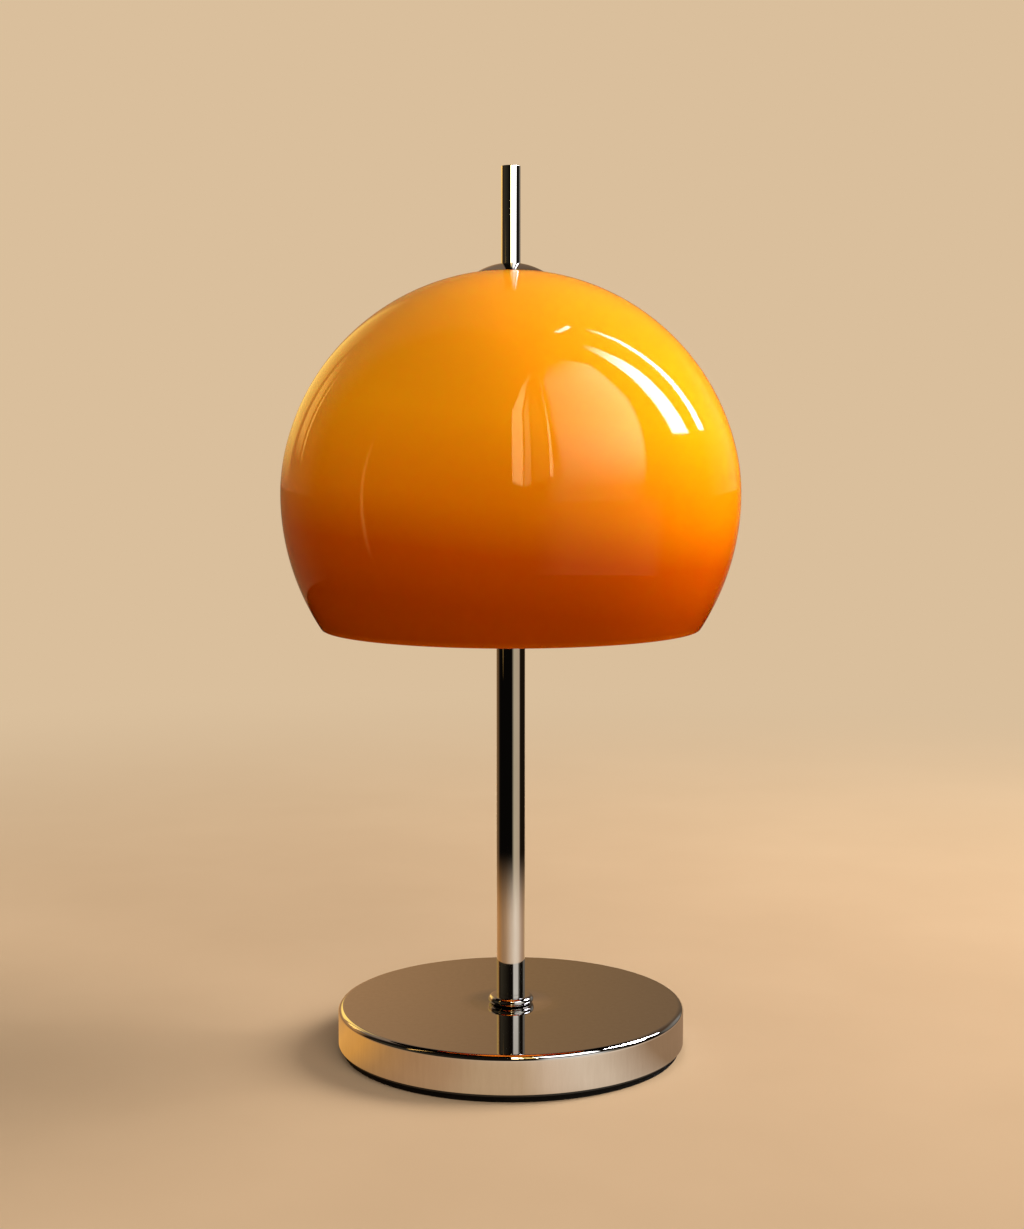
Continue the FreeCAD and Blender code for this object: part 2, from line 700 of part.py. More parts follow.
lamp_start = f"({contact_end} + Size.stop_gap)"
lamp_cap_end = f"({lamp_start} + Size.lamp_cap_length)"
lamp_cap_inside = "(Size.lamp_cap_radius - Size.lamp_cap_wall)"
arm_pair("lamp_caps", [
    ("0", lamp_start),
    ("Size.lamp_cap_radius / 3", lamp_start),
    ("Size.lamp_cap_radius", f"{lamp_start} + Size.lamp_cap_radius / 2"),
    ("Size.lamp_cap_radius", lamp_cap_end),
    (lamp_cap_inside, lamp_cap_end),
    (lamp_cap_inside, f"{lamp_start} + Size.lamp_cap_radius / 2"),
    ("0", f"{lamp_start} + Size.lamp_cap_radius / 2"),
])

glass_start = f"({lamp_cap_end} - Size.lamp_cap_radius / 2)"
glass_neck = f"({lamp_cap_end} + Size.lamp_glass_wall)"
globe_centre = f"({lamp_start} + Size.lamp_length - Size.lamp_globe_radius)"
globe_inside = "(Size.lamp_globe_radius - Size.lamp_glass_wall)"
neck_outside = f"({lamp_cap_inside} - Size.seat_gap)"
neck_inside = f"({neck_outside} - Size.lamp_glass_wall)"


def globe_point(radius):
    """Where the neck runs into a globe of the radius."""
    return (f"{radius} * sin(Size.lamp_shoulder_angle)",
            f"{globe_centre} - {radius} * cos(Size.lamp_shoulder_angle)")


arm_pair("lamp_globes", [
    (neck_inside, glass_start),
    (neck_outside, glass_start),
    (neck_outside, glass_neck),
    (*globe_point("Size.lamp_globe_radius"), "Size.lamp_globe_radius"),
    ("0", f"{globe_centre} + Size.lamp_globe_radius"),
    ("0", f"{globe_centre} + {globe_inside}", f"-{globe_inside}"),
    globe_point(globe_inside),
    (neck_inside, glass_neck),
])

# ---- shade: one moulded acrylic shell of three tangent arcs, open below, with a hole on top ------
lower_centre = f"({shade_radius} - Size.shade_lower_radius)"
rim_sine = "(Size.shade_skirt_depth / Size.shade_lower_radius)"
rim_cosine = f"sqrt(1 - {rim_sine}^2)"


def shade_points(skin):
    """Rim, equator, crown start and hole edge of the shade's skin at an offset from the outside."""
    lower = f"(Size.shade_lower_radius + {skin})"
    crown = f"({crown_radius} + {skin})"
    rim = (f"{lower_centre} + {lower} * {rim_cosine}", f"Size.shade_equator - {lower} * {rim_sine}")
    equator = (f"{shade_radius} + {skin}", "Size.shade_equator")
    crown_start = (f"Size.shade_shoulder_offset * {crown} / {crown_offset}",
                   f"{crown_centre} + {crown_drop} * {crown} / {crown_offset}")
    hole = ("Size.shade_hole_radius", crown_height("Size.shade_hole_radius", skin))
    return rim, equator, crown_start, hole


outer = shade_points("0")
inner = shade_points("-Size.shade_wall")
turned("shade", [
    (*outer[0], "Size.shade_lower_radius"),
    (*outer[1], shoulder_radius),
    (*outer[2], crown_radius),
    outer[3],
    (*inner[3], f"-({crown_radius} - Size.shade_wall)"),
    (*inner[2], f"-({shoulder_radius} - Size.shade_wall)"),
    (*inner[1], "-(Size.shade_lower_radius - Size.shade_wall)"),
    (*inner[0], "0.52 * Size.shade_wall"),
])

# ---- shade fixing: flanged carrier on the rod, rubber seat, and the domed cap screwed on its neck
flange_radius = "Size.carrier_flange_radius"
flange_top = f"({crown_height(flange_radius, '-Size.shade_wall')} - Size.gasket_thickness)"
flange_bottom = f"({flange_top} - Size.carrier_flange)"
carrier_bottom = f"({flange_bottom} - Size.carrier_hub_length)"
cap_dome = f"(({cap_radius}^2 + Size.cap_rise^2) / (2 * Size.cap_rise))"
carrier_top = f"({cap_top} - 0.4 * Size.cap_rise)"
carrier_screw_height = f"({carrier_bottom} + Size.carrier_hub_length / 2)"
shade_carrier = new_body("shade_carrier")
turn(shade_carrier, [
    (rod_clear, carrier_bottom),
    ("Size.carrier_radius", carrier_bottom),
    ("Size.carrier_radius", flange_bottom),
    (flange_radius, flange_bottom),
    (flange_radius, flange_top),
    ("Size.carrier_neck_radius", flange_top),
    ("Size.carrier_neck_radius", carrier_top),
    (rod_clear, carrier_top),
])
drill(shade_carrier, "Size.grub_screw_radius + Size.seat_gap", "0", carrier_screw_height,
      "2 * Size.carrier_radius", role="XZ_Plane")
keep(shade_carrier, "shade_carrier")

sleeve_inside = "(Size.carrier_neck_radius + Size.seat_gap)"
sleeve_outside = "(Size.shade_hole_radius - Size.seat_gap)"
seat_skin = "-Size.shade_wall - Size.seat_gap"
turned("shade_gasket", [
    (sleeve_inside, flange_top),
    (flange_radius, flange_top),
    (flange_radius, crown_height(flange_radius, seat_skin),
     f"({crown_radius} - Size.shade_wall - Size.seat_gap)"),
    (sleeve_outside, crown_height(sleeve_outside, seat_skin)),
    (sleeve_outside, crown_height(sleeve_outside)),
    (sleeve_inside, crown_height(sleeve_outside)),
])

gasket_out = "Size.cap_gasket_radius"
gasket_in = "(Size.cap_boss_radius + 4 * Size.seat_gap)"
recess_out = f"({gasket_out} + 4 * Size.seat_gap)"
recess_roof = f"({crown_height(gasket_out)} + 0.8 * Size.gasket_thickness)"
turned("cap_gasket", [
    (gasket_in, crown_height(gasket_in, "Size.seat_gap"), f"-({crown_radius} + Size.seat_gap)"),
    (gasket_out, crown_height(gasket_out, "Size.seat_gap")),
    (gasket_out, f"{recess_roof} - Size.seat_gap"),
    (gasket_in, f"{recess_roof} - Size.seat_gap"),
])

dome_at_rod = f"({cap_top} - {cap_dome} + sqrt({cap_dome}^2 - {rod_clear}^2))"
boss_bottom = f"({crown_height('Size.cap_boss_radius')} + 4 * Size.seat_gap)"
turned("cap", [
    (cap_radius, cap_edge, cap_dome),
    (rod_clear, dome_at_rod),
    (rod_clear, f"{carrier_top} + 4 * Size.seat_gap"),
    (sleeve_inside, f"{carrier_top} + 4 * Size.seat_gap"),
    (sleeve_inside, boss_bottom),
    ("Size.cap_boss_radius", boss_bottom),
    ("Size.cap_boss_radius", recess_roof),
    (recess_out, recess_roof),
    (recess_out, crown_height(recess_out, cap_skin), f"-({crown_radius} + {cap_skin})"),
])

# ---- grub screws: two in the hub's neck and two in the carrier, with their points on the rod -----
grub_screws = []
for place, height in (("hub", hub_screw_height), ("carrier", carrier_screw_height)):
    for side, word in ((1, "back"), (-1, "front")):
        screw = new_body(f"{place}_{word}_grub_screw")
        turn(screw, [
            ("0", rod_clear),
            ("Size.grub_screw_radius / 2", rod_clear),
            ("Size.grub_screw_radius", f"{rod_clear} + Size.grub_screw_radius / 2"),
            ("Size.grub_screw_radius", f"{rod_clear} + Size.grub_screw_length"),
            ("Size.grub_screw_radius / 2", f"{rod_clear} + Size.grub_screw_length"),
            ("Size.grub_screw_radius / 2",
             f"{rod_clear} + Size.grub_screw_length - Size.grub_screw_radius / 2"),
            ("0", f"{rod_clear} + Size.grub_screw_length - Size.grub_screw_radius / 2"),
        ])
        screw.setExpression(
            "Placement",
            f"placement(vector(0; 0; {height}); rotation(vector(1; 0; 0); {-90 * side}))")
        grub_screws.append(screw)
group("grub_screws", grub_screws)


# ---- wiring ---------------------------------------------------------------------------------------
def point(across, back, up):
    return FreeCAD.Vector(across, back, up)


def bend(centre, start, end):
    """Arc of less than half a turn about a centre."""
    radius = (start - centre).Length
    halfway = (start - centre) + (end - centre)
    return Part.Arc(start, centre + halfway.normalize() * radius, end).toShape()


def run(start, end):
    return Part.LineSegment(start, end).toShape()


def cable(name, edges, radius):
    """Round cable along a path of runs and arcs, with its volume held against section times length."""
    path = Part.Wire(edges)
    begin = path.Edges[0]
    heading = begin.tangentAt(begin.FirstParameter)
    section = Part.Wire([Part.Circle(begin.valueAt(begin.FirstParameter), heading, radius).toShape()])
    solid = path.makePipeShell([section], True, False)
    expected = math.pi * radius ** 2 * path.Length
    if abs(solid.Volume - expected) > 0.01 * expected:
        raise RuntimeError(f"{name} has {solid.Volume:.0f} mm3 for {expected:.0f} mm3")
    feature = document.addObject("Part::Feature", name)
    feature.Shape = solid
    print(f"{name}: {path.Length:.0f} mm long")
    return feature


# Base cable: a loop of slack in the chamber, fed up the stem as the head rises.
level = number(cable_height)
loop = number(loop_radius)
rise = number("Size.cable_rise_radius")
entry = number("Size.terminal_length / 4")
lead_radius = number("Size.lead_cable_radius")
loop_centre = point(0, rise, level)
inner_centre = point(-loop / 2, rise, level)
quarters = [point(0, rise + loop, level), point(loop, rise, level), point(0, rise - loop, level),
            point(-loop, rise, level)]
inner_top = point(-loop / 2, rise + loop / 2, level)
foot = point(0, rise, level)
stem_entry = point(0, 0, level + rise)
base_path = [run(point(-entry, rise + loop, level), quarters[0])]
base_path += [bend(loop_centre, quarters[index], quarters[index + 1]) for index in range(3)]
base_path += [bend(inner_centre, quarters[3], inner_top), bend(inner_centre, inner_top, foot)]
base_path += [bend(point(0, rise, level + rise), foot, stem_entry)]
base_path += [run(stem_entry, point(0, 0, number(rod_bottom) - 1))]
keep(cable("base_cable", base_path, lead_radius), "base_cable")

# Rod cable: straight up the rod to the hub, where the lead of each lampholder leaves it.
cable_end = number(f"{hub_height} - 3 * Size.lead_cable_radius")
keep(cable("rod_cable", [run(point(0, 0, number(rod_bottom)), point(0, 0, cable_end))],
           lead_radius), "rod_cable")
lead = number("Size.arm_lead_radius")
lead_bend = number("Size.arm_lead_bend")
slope = math.radians(number("Size.arm_rise"))
lead_offset = lead + number("Size.running_gap")
lead_end = number(holder_deck)
hub_centre = point(0, 0, number(hub_height))
arm_leads = []
for side in (1, -1):
    along = point(side * math.cos(slope), 0, math.sin(slope))
    corner = hub_centre + along * (lead_offset / math.cos(slope))
    reach = lead_bend * math.tan((math.pi / 2 - slope) / 2)
    low = corner - point(0, 0, reach)
    high = corner + along * reach
    turn_centre = low + point(side * lead_bend, 0, 0)
    edges = [run(point(side * lead_offset, 0, cable_end), low), bend(turn_centre, low, high),
             run(high, hub_centre + along * lead_end)]
    arm_leads.append(cable(f"arm_lead_{'right' if side > 0 else 'left'}", edges, lead))
group("arm_leads", arm_leads)

# ---- check every object, then write each node's solids -------------------------------------------
document.recompute()
for item in document.Objects:
    if "Invalid" in item.State or "Error" in item.State:
        raise RuntimeError(f"{item.Name} failed: {item.State}")
for node in nodes:
    shape = node.Shape
    if shape.isNull() or not shape.isValid() or not shape.Solids:
        raise RuntimeError(f"{node.Label} has no valid solid")
    shape.exportStep(f"parts/{node.Label}.step")
    print(f"{node.Label}: {len(shape.Solids)} solid(s), {shape.Volume / 1000:.2f} cm3")
print(f"{len(nodes)} nodes, {number(stem_travel):.1f} mm of travel, {number(rod_top):.1f} mm tall")
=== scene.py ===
import math

import bpy
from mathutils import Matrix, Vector


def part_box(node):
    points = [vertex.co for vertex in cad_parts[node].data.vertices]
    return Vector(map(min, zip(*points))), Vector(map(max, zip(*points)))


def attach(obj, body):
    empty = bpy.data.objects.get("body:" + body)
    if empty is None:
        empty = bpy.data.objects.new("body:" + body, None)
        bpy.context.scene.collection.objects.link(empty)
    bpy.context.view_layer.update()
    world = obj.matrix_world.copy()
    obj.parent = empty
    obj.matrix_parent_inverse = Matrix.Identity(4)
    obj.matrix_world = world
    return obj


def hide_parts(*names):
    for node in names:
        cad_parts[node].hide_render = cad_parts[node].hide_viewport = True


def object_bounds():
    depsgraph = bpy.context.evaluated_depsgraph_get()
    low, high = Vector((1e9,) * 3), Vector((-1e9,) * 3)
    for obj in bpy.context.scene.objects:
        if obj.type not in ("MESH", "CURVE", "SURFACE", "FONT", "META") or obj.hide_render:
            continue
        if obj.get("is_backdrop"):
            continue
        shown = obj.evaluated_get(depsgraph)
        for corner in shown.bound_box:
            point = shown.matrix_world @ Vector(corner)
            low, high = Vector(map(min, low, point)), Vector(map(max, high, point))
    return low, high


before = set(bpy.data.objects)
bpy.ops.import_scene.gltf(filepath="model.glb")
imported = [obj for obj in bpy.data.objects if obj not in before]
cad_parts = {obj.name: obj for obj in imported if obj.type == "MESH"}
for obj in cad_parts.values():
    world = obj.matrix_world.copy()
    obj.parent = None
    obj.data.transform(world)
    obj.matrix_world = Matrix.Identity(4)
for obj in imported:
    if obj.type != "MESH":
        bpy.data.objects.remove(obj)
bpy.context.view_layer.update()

# Mushroom table lamp: glossy orange shade on a chrome telescoping stem over a chrome disc base.
# Metres, +Z up, the front looks along -Y.  Lengths that are given in millimetres are times MM.
MM = 0.001
bpy.ops.object.select_all(action="DESELECT")

# ---- camera ----------------------------------------------------------------------------------
# At the photograph's place: a little above the middle of the shade, looking slightly down.
CAMERA_PLACE = (0.66 * MM, -1.114, 0.3566)
CAMERA_DIP = 5.57
LENS, SENSOR_WIDTH = 58.58, 36
bpy.ops.object.camera_add(location=CAMERA_PLACE, rotation=(math.radians(90 - CAMERA_DIP), 0, 0))
camera = bpy.context.object
camera.name = "photo_camera"
camera.data.lens = LENS
camera.data.sensor_width = SENSOR_WIDTH
camera.data.dof.use_dof = False
bpy.context.scene.camera = camera
bpy.context.scene.view_settings.view_transform = "Standard"

# ---- studio floor ----------------------------------------------------------------------------
# A plain sheet of warm pale paper that melts into the backdrop.  Gloss sees it painted in rings
# of tint round the lamp: a painted reflection of the room, which the chrome picks up from below.


def colour(tint):
    """Linear colour of an sRGB hex value."""
    parts = [int(tint[place:place + 2], 16) / 255 for place in (1, 3, 5)]
    return (*[part / 12.92 if part <= 0.04045 else ((part + 0.055) / 1.055) ** 2.4
              for part in parts], 1)


def add(tree, kind, inputs=(), stops=(), **settings):
    """Node with its settings, its inputs (values or sockets to link) and its ramp's stops."""
    made = tree.nodes.new(kind)
    for name, value in settings.items():
        setattr(made, name, value)
    for name, value in dict(inputs).items():
        if isinstance(value, bpy.types.NodeSocket):
            tree.links.new(value, made.inputs[name])
        else:
            made.inputs[name].default_value = value
    for number, (place, tint) in enumerate(stops):
        elements = made.color_ramp.elements
        element = elements[number] if number < 2 else elements.new(place)
        element.position = place
        element.color = colour(tint)
    return made


def new_finish(name):
    """Empty material with its node tree."""
    made = bpy.data.materials.new(name)
    made.use_nodes = True
    made.node_tree.nodes.clear()
    return made, made.node_tree


FLOOR_SIZE = 30
FLOOR_TINTS = "#B49B7E", "#B89F82"
FLOOR_CLOUDS = 6.0                  # per metre
BACKDROP_TINT = "#DABF9C"
MELT_START, MELT_END = 0.35, 1.5
# Painted contact shadow: near the base the painted reflection darkens to this share.
CONTACT_SHADE_START, CONTACT_SHADE_END, CONTACT_SHADE_SHARE = 0.095, 0.125, 0.88
# The painted rings that gloss sees: beside the base, where the stem mirrors it, and further out,
# where the front is painted black as a dark reflection.  Azimuth 0 is the camera's side, +X is 90;
# a stop is (azimuth, tint).
BESIDE_STOPS = [
    (-180, "#E2B684"), (-120, "#C8945C"), (-95, "#F2AE59"), (-78, "#E9A652"), (-60, "#C08E58"),
    (-45, "#B88C62"), (-27, "#BF9770"), (-14, "#CCAA84"), (4, "#D2B18C"), (16, "#E8CBAE"),
    (30, "#EED6BC"), (40, "#E8D0B6"), (72, "#A48364"), (128, "#9F7D5F"), (142, "#F0C594"),
    (180, "#E2B684"),
]
STEM_STOPS = [
    (-180, "#D8B48A"), (-130, "#CC9259"), (-100, "#B9844F"), (-67, "#AA8460"), (-39, "#B8926D"),
    (-14, "#CFB193"), (36, "#FBE8D2"), (63, "#F0DAC3"), (80, "#D4B89E"), (95, "#C1A186"),
    (123, "#AE8B6A"), (150, "#D8B48A"), (180, "#D8B48A"),
]
OUTER_STOPS = [
    (-180, "#8A6A48"), (-130, "#7D5E3E"), (-106, "#2A2017"), (-95, "#0A0806"), (10, "#0A0806"),
    (27, "#C6B69A"), (70, "#C6B096"), (80, "#1E150C"), (148, "#1C160E"), (165, "#9C7A58"),
    (180, "#8A6A48"),
]
# Each outer ring fades in over the inner ones between two distances from the lamp's axis.
OUTER_RINGS = (STEM_STOPS, 0.15, 0.2), (OUTER_STOPS, 0.28, 0.53)


def round_the_lamp(tree, vector, stops):
    """Ramp that runs with the azimuth of a place or direction."""
    axes = add(tree, "ShaderNodeSeparateXYZ", {"Vector": vector})
    front = add(tree, "ShaderNodeMath", {0: axes.outputs["Y"], 1: -1.0}, operation="MULTIPLY")
    azimuth = add(tree, "ShaderNodeMath", {0: axes.outputs["X"], 1: front.outputs[0]},
                  operation="ARCTAN2")
    turn = add(tree, "ShaderNodeMapRange", {"Value": azimuth.outputs[0], "From Min": -math.pi,
                                            "From Max": math.pi})
    return add(tree, "ShaderNodeValToRGB", {"Fac": turn.outputs["Result"]},
               stops=[((degrees + 180) / 360, tint_hex) for degrees, tint_hex in stops])


bpy.ops.mesh.primitive_plane_add(size=FLOOR_SIZE, location=(0, 0, 0))
floor = bpy.context.object
floor.name = "paper_floor"
paper, tree = new_finish("pale_paper")
place = add(tree, "ShaderNodeTexCoord")
mottle = add(tree, "ShaderNodeTexNoise", {"Vector": place.outputs["Object"],
                                          "Scale": FLOOR_CLOUDS, "Detail": 3.0})
tint = add(tree, "ShaderNodeValToRGB", {"Fac": mottle.outputs["Fac"]},
           stops=[(0.3, FLOOR_TINTS[0]), (0.7, FLOOR_TINTS[1])])
matt = add(tree, "ShaderNodeBsdfDiffuse", {"Color": tint.outputs["Color"], "Roughness": 0.6})
reach = add(tree, "ShaderNodeVectorMath", {0: place.outputs["Object"]}, operation="LENGTH")
far = add(tree, "ShaderNodeMapRange", {"Value": reach.outputs["Value"], "From Min": MELT_START,
                                       "From Max": MELT_END}, interpolation_type="SMOOTHSTEP")
seen_by = add(tree, "ShaderNodeLightPath")
melt = add(tree, "ShaderNodeMath", {0: far.outputs["Result"], 1: seen_by.outputs["Is Camera Ray"]},
           operation="MULTIPLY")
backdrop = add(tree, "ShaderNodeEmission", {"Color": colour(BACKDROP_TINT)})
sheet = add(tree, "ShaderNodeMixShader", {0: melt.outputs[0], 1: matt.outputs[0],
                                          2: backdrop.outputs[0]})
mirrored = round_the_lamp(tree, place.outputs["Object"], BESIDE_STOPS)
for stops, inner, outer in OUTER_RINGS:
    ring = round_the_lamp(tree, place.outputs["Object"], stops)
    share = add(tree, "ShaderNodeMapRange", {
        "Value": reach.outputs["Value"], "From Min": inner, "From Max": outer},
        interpolation_type="SMOOTHSTEP")
    mirrored = add(tree, "ShaderNodeMixRGB", {
        0: share.outputs["Result"], 1: mirrored.outputs["Color"], 2: ring.outputs["Color"]})
# Painted contact shadow on the painted reflection, close to the base.
painted_contact_shade = add(tree, "ShaderNodeMapRange", {
    "Value": reach.outputs["Value"], "From Min": CONTACT_SHADE_START, "From Max": CONTACT_SHADE_END,
    "To Min": CONTACT_SHADE_SHARE})
# Painted reflection: gloss sees the floor glow in the painted rings' tints instead of lit paper.
gloss = add(tree, "ShaderNodeEmission", {"Color": mirrored.outputs["Color"],
                                         "Strength": painted_contact_shade.outputs["Result"]})
whole = add(tree, "ShaderNodeMixShader", {0: seen_by.outputs["Is Glossy Ray"], 1: sheet.outputs[0],
                                          2: gloss.outputs[0]})
add(tree, "ShaderNodeOutputMaterial", {"Surface": whole.outputs[0]})
floor.data.materials.append(paper)
floor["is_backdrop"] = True

# ---- studio room -----------------------------------------------------------------------------
# The eye sees a plain pale room.  Gloss sees a dark one with a taupe wall behind and a pale one at
# the front right, as the chrome in the photograph does.
WALL_STOPS = [
    (-180, "#957350"), (-174, "#B08860"), (-144, "#AF865D"), (-122, "#B98750"), (-108, "#1A120B"),
    (-88, "#3E382C"), (-12, "#14100C"), (16, "#14100C"), (24, "#EFEBE4"), (58, "#EFEBE4"),
    (70, "#5E594F"), (84, "#14100C"), (112, "#14100C"), (122, "#6E6A62"), (146, "#8F8A83"),
    (154, "#5E4F40"), (174, "#7D644B"), (180, "#92714D"),
]
CEILING_STOPS = [
    (-180, "#7E6854"), (-130, "#927D6A"), (-112, "#2A221C"), (-100, "#15110D"), (100, "#15110D"),
    (118, "#4A3A2E"), (150, "#5A4838"), (180, "#7E6854"),
]
CEILING_START, CEILING_END = 0.28, 0.45      # the upward part of a direction
SOFT_LIGHT, SOFT_TINT = 0.5, "#FFFAF2"
room = bpy.data.worlds.new("studio_room")
bpy.context.scene.world = room
room.use_nodes = True
tree = room.node_tree
tree.nodes.clear()
way = add(tree, "ShaderNodeTexCoord")
axes = add(tree, "ShaderNodeSeparateXYZ", {"Vector": way.outputs["Generated"]})
wall = round_the_lamp(tree, way.outputs["Generated"], WALL_STOPS)
ceiling = round_the_lamp(tree, way.outputs["Generated"], CEILING_STOPS)
height_part = add(tree, "ShaderNodeMapRange", {
    "Value": axes.outputs["Z"], "From Min": CEILING_START, "From Max": CEILING_END})
upper = add(tree, "ShaderNodeMixRGB", {0: height_part.outputs["Result"], 1: wall.outputs["Color"],
                                       2: ceiling.outputs["Color"]})
seen_by = add(tree, "ShaderNodeLightPath")
gloss_view = add(tree, "ShaderNodeBackground", {"Color": upper.outputs["Color"]})
soft_view = add(tree, "ShaderNodeBackground", {"Color": colour(SOFT_TINT), "Strength": SOFT_LIGHT})
plain_view = add(tree, "ShaderNodeBackground", {"Color": colour(BACKDROP_TINT)})
lit = add(tree, "ShaderNodeMixShader", {0: seen_by.outputs["Is Glossy Ray"],
                                        1: soft_view.outputs[0], 2: gloss_view.outputs[0]})
shown = add(tree, "ShaderNodeMixShader", {0: seen_by.outputs["Is Camera Ray"],
                                          1: lit.outputs[0], 2: plain_view.outputs[0]})
add(tree, "ShaderNodeOutputWorld", {"Surface": shown.outputs[0]})

# ---- studio lamps ----------------------------------------------------------------------------
# One large soft lamp at the right, and a weak one beside the camera.  Gloss doesn't see them: the
# cards below stand for what the object mirrors.
SHADE_MIDDLE = Vector((0, 0, 0.32))


def direction(azimuth_degrees, elevation_degrees):
    """Unit vector from the lamp towards a place in the studio."""
    level = math.cos(math.radians(elevation_degrees))
    return Vector((level * math.sin(math.radians(azimuth_degrees)),
                   -level * math.cos(math.radians(azimuth_degrees)),
                   math.sin(math.radians(elevation_degrees))))


for name, azimuth_degrees, elevation_degrees, distance, size, watts, tint_hex in (
        ("key_lamp", 100, 30, 1.7, 1.1, 62, "#FFF8EE"),
        ("fill_lamp", 20, 30, 2.2, 1.4, 15, "#FFF4E6")):
    place_of_lamp = SHADE_MIDDLE + direction(azimuth_degrees, elevation_degrees) * distance
    bpy.ops.object.light_add(type="AREA", location=place_of_lamp)
    softbox = bpy.context.object
    softbox.name = name
    softbox.rotation_mode = "QUATERNION"
    softbox.rotation_quaternion = (SHADE_MIDDLE - place_of_lamp).to_track_quat("-Z", "Y")
    softbox.data.size = size
    softbox.data.energy = watts
    softbox.data.color = colour(tint_hex)[:3]
    softbox.visible_glossy = False

# ---- reflector cards -------------------------------------------------------------------------
# Bright cards stand round the set, and only gloss sees them: they give the shade its strips,
# window and pale sheet.  A card's edges are given as the shade mirrors them: azimuth and
# elevation of the mirrored ray, from the bottom of the edge to its top.
SHADE_REACH = 127.5 * MM
CARD_COLUMNS, CARD_ROWS = 16, 32


def mirrored_place(azimuth_degrees, elevation_degrees, distance):
    """Place at that distance from the shade's middle that the camera sees mirrored in it there."""
    ray = direction(azimuth_degrees, elevation_degrees)
    sight = (SHADE_MIDDLE - Vector(CAMERA_PLACE)).normalized()
    start = (ray - sight).normalized() * SHADE_REACH
    along_ray = start.dot(ray)
    length = math.sqrt(along_ray ** 2 + distance ** 2 - SHADE_REACH ** 2) - along_ray
    return SHADE_MIDDLE + start + ray * length


def on_edge(edge, up):
    """Azimuth and elevation a part of the way up an edge."""
    step = min(int(up * (len(edge) - 1)), len(edge) - 2)
    part = up * (len(edge) - 1) - step
    return [low + (high - low) * part for low, high in zip(edge[step], edge[step + 1])]


# Distances of the cards from the middle of the shade.  The large ones stand near, where the top of
# the base mirrors them in fewer views.
FAR, NEAR, NEAREST = 2.4, 0.6, 0.42
# A card mirrored twice, such as by the rod and then by the shade, shows this part of its light.
SECOND_BOUNCE = 0.35


def seen_in_gloss_only(made):
    """Hide a piece of the studio from every ray but gloss."""
    for kind_of_ray in ("camera", "diffuse", "transmission", "volume_scatter", "shadow"):
        setattr(made, "visible_" + kind_of_ray, False)
    made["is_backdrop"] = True


def card(name, left, right, light, distance=FAR, sides=0.05, bottom=0.02, top=0.1,
         left_share=1.0, tint_hex="#FFFFFF"):
    """Glowing card between a left and a right edge, which fades over those parts of its width and
    height.  Its left side has that share of its light."""
    bpy.ops.mesh.primitive_grid_add(x_subdivisions=CARD_COLUMNS, y_subdivisions=CARD_ROWS, size=2)
    made = bpy.context.object
    made.name = name
    for vertex in made.data.vertices:
        across, up = (vertex.co.x + 1) / 2, (vertex.co.y + 1) / 2
        ends = zip(on_edge(left, up), on_edge(right, up))
        vertex.co = mirrored_place(*[first + (last - first) * across for first, last in ends],
                                   distance)
    glow, tree = new_finish(name + "_glow")
    flat = add(tree, "ShaderNodeTexCoord")
    edges = add(tree, "ShaderNodeSeparateXYZ", {"Vector": flat.outputs["UV"]})
    middle = add(tree, "ShaderNodeMath", {0: edges.outputs["X"], 1: 0.5}, operation="SUBTRACT")
    away = add(tree, "ShaderNodeMath", {0: middle.outputs[0]}, operation="ABSOLUTE")
    side_fade = add(tree, "ShaderNodeMapRange", {
        "Value": away.outputs[0], "From Min": 0.5, "From Max": 0.5 - sides})
    low_fade = add(tree, "ShaderNodeMapRange", {
        "Value": edges.outputs["Y"], "From Max": bottom, "To Max": side_fade.outputs["Result"]})
    high_fade = add(tree, "ShaderNodeMapRange", {
        "Value": edges.outputs["Y"], "From Min": 1.0, "From Max": 1 - top,
        "To Max": low_fade.outputs["Result"]})
    rise = add(tree, "ShaderNodeMapRange", {
        "Value": edges.outputs["X"], "To Min": light * left_share, "To Max": light})
    bounces = add(tree, "ShaderNodeLightPath")
    softer = add(tree, "ShaderNodeMapRange", {
        "Value": bounces.outputs["Glossy Depth"], "From Min": 1.0, "From Max": 2.0, "To Min": 1.0,
        "To Max": SECOND_BOUNCE})
    level = add(tree, "ShaderNodeMath", {0: rise.outputs["Result"], 1: softer.outputs["Result"]},
                operation="MULTIPLY")
    shine = add(tree, "ShaderNodeEmission", {"Color": colour(tint_hex),
                                             "Strength": level.outputs[0]})
    gone = add(tree, "ShaderNodeBsdfTransparent")
    mixed = add(tree, "ShaderNodeMixShader", {0: high_fade.outputs["Result"], 1: gone.outputs[0],
                                              2: shine.outputs[0]})
    add(tree, "ShaderNodeOutputMaterial", {"Surface": mixed.outputs[0]})
    made.data.materials.append(glow)
    seen_in_gloss_only(made)


STRIP_TINT, WINDOW_TINT = "#EEF0FF", "#FFE2A8"
card("strip_wide", [(95, 22.3), (94, 65)], [(108, 19.2), (106, 45), (100, 65)], 38.0, top=0.4,
     tint_hex=STRIP_TINT)
card("strip_thin", [(117, 17.5), (119, 45), (122, 62)], [(122.5, 16), (122.5, 45), (125.5, 62)],
     32.0, top=0.3, tint_hex=STRIP_TINT)
card("strip_tick", [(110.6, 73), (112, 74.8)], [(124.9, 66.9), (128, 68)], 22.0,
     tint_hex=STRIP_TINT)
card("pane_left", [(0.6, 8.2), (0.6, 45), (8, 58), (20, 66)],
     [(5.8, 5.8), (7, 45), (12, 58), (20.5, 66)], 13.0, NEAR, top=0.5, tint_hex=WINDOW_TINT)
card("pane_right", [(6.2, 6.0), (8, 45), (13, 58)], [(9.6, 7.2), (11, 45), (14, 58)], 5.0, NEAR,
     top=0.5, tint_hex=WINDOW_TINT)
card("pane_dim", [(10, 7.4), (11, 45), (14, 58)], [(19.5, 11), (19, 45), (18, 58)], 1.4, NEAR,
     sides=0.2, top=0.4, tint_hex="#FFD67C")
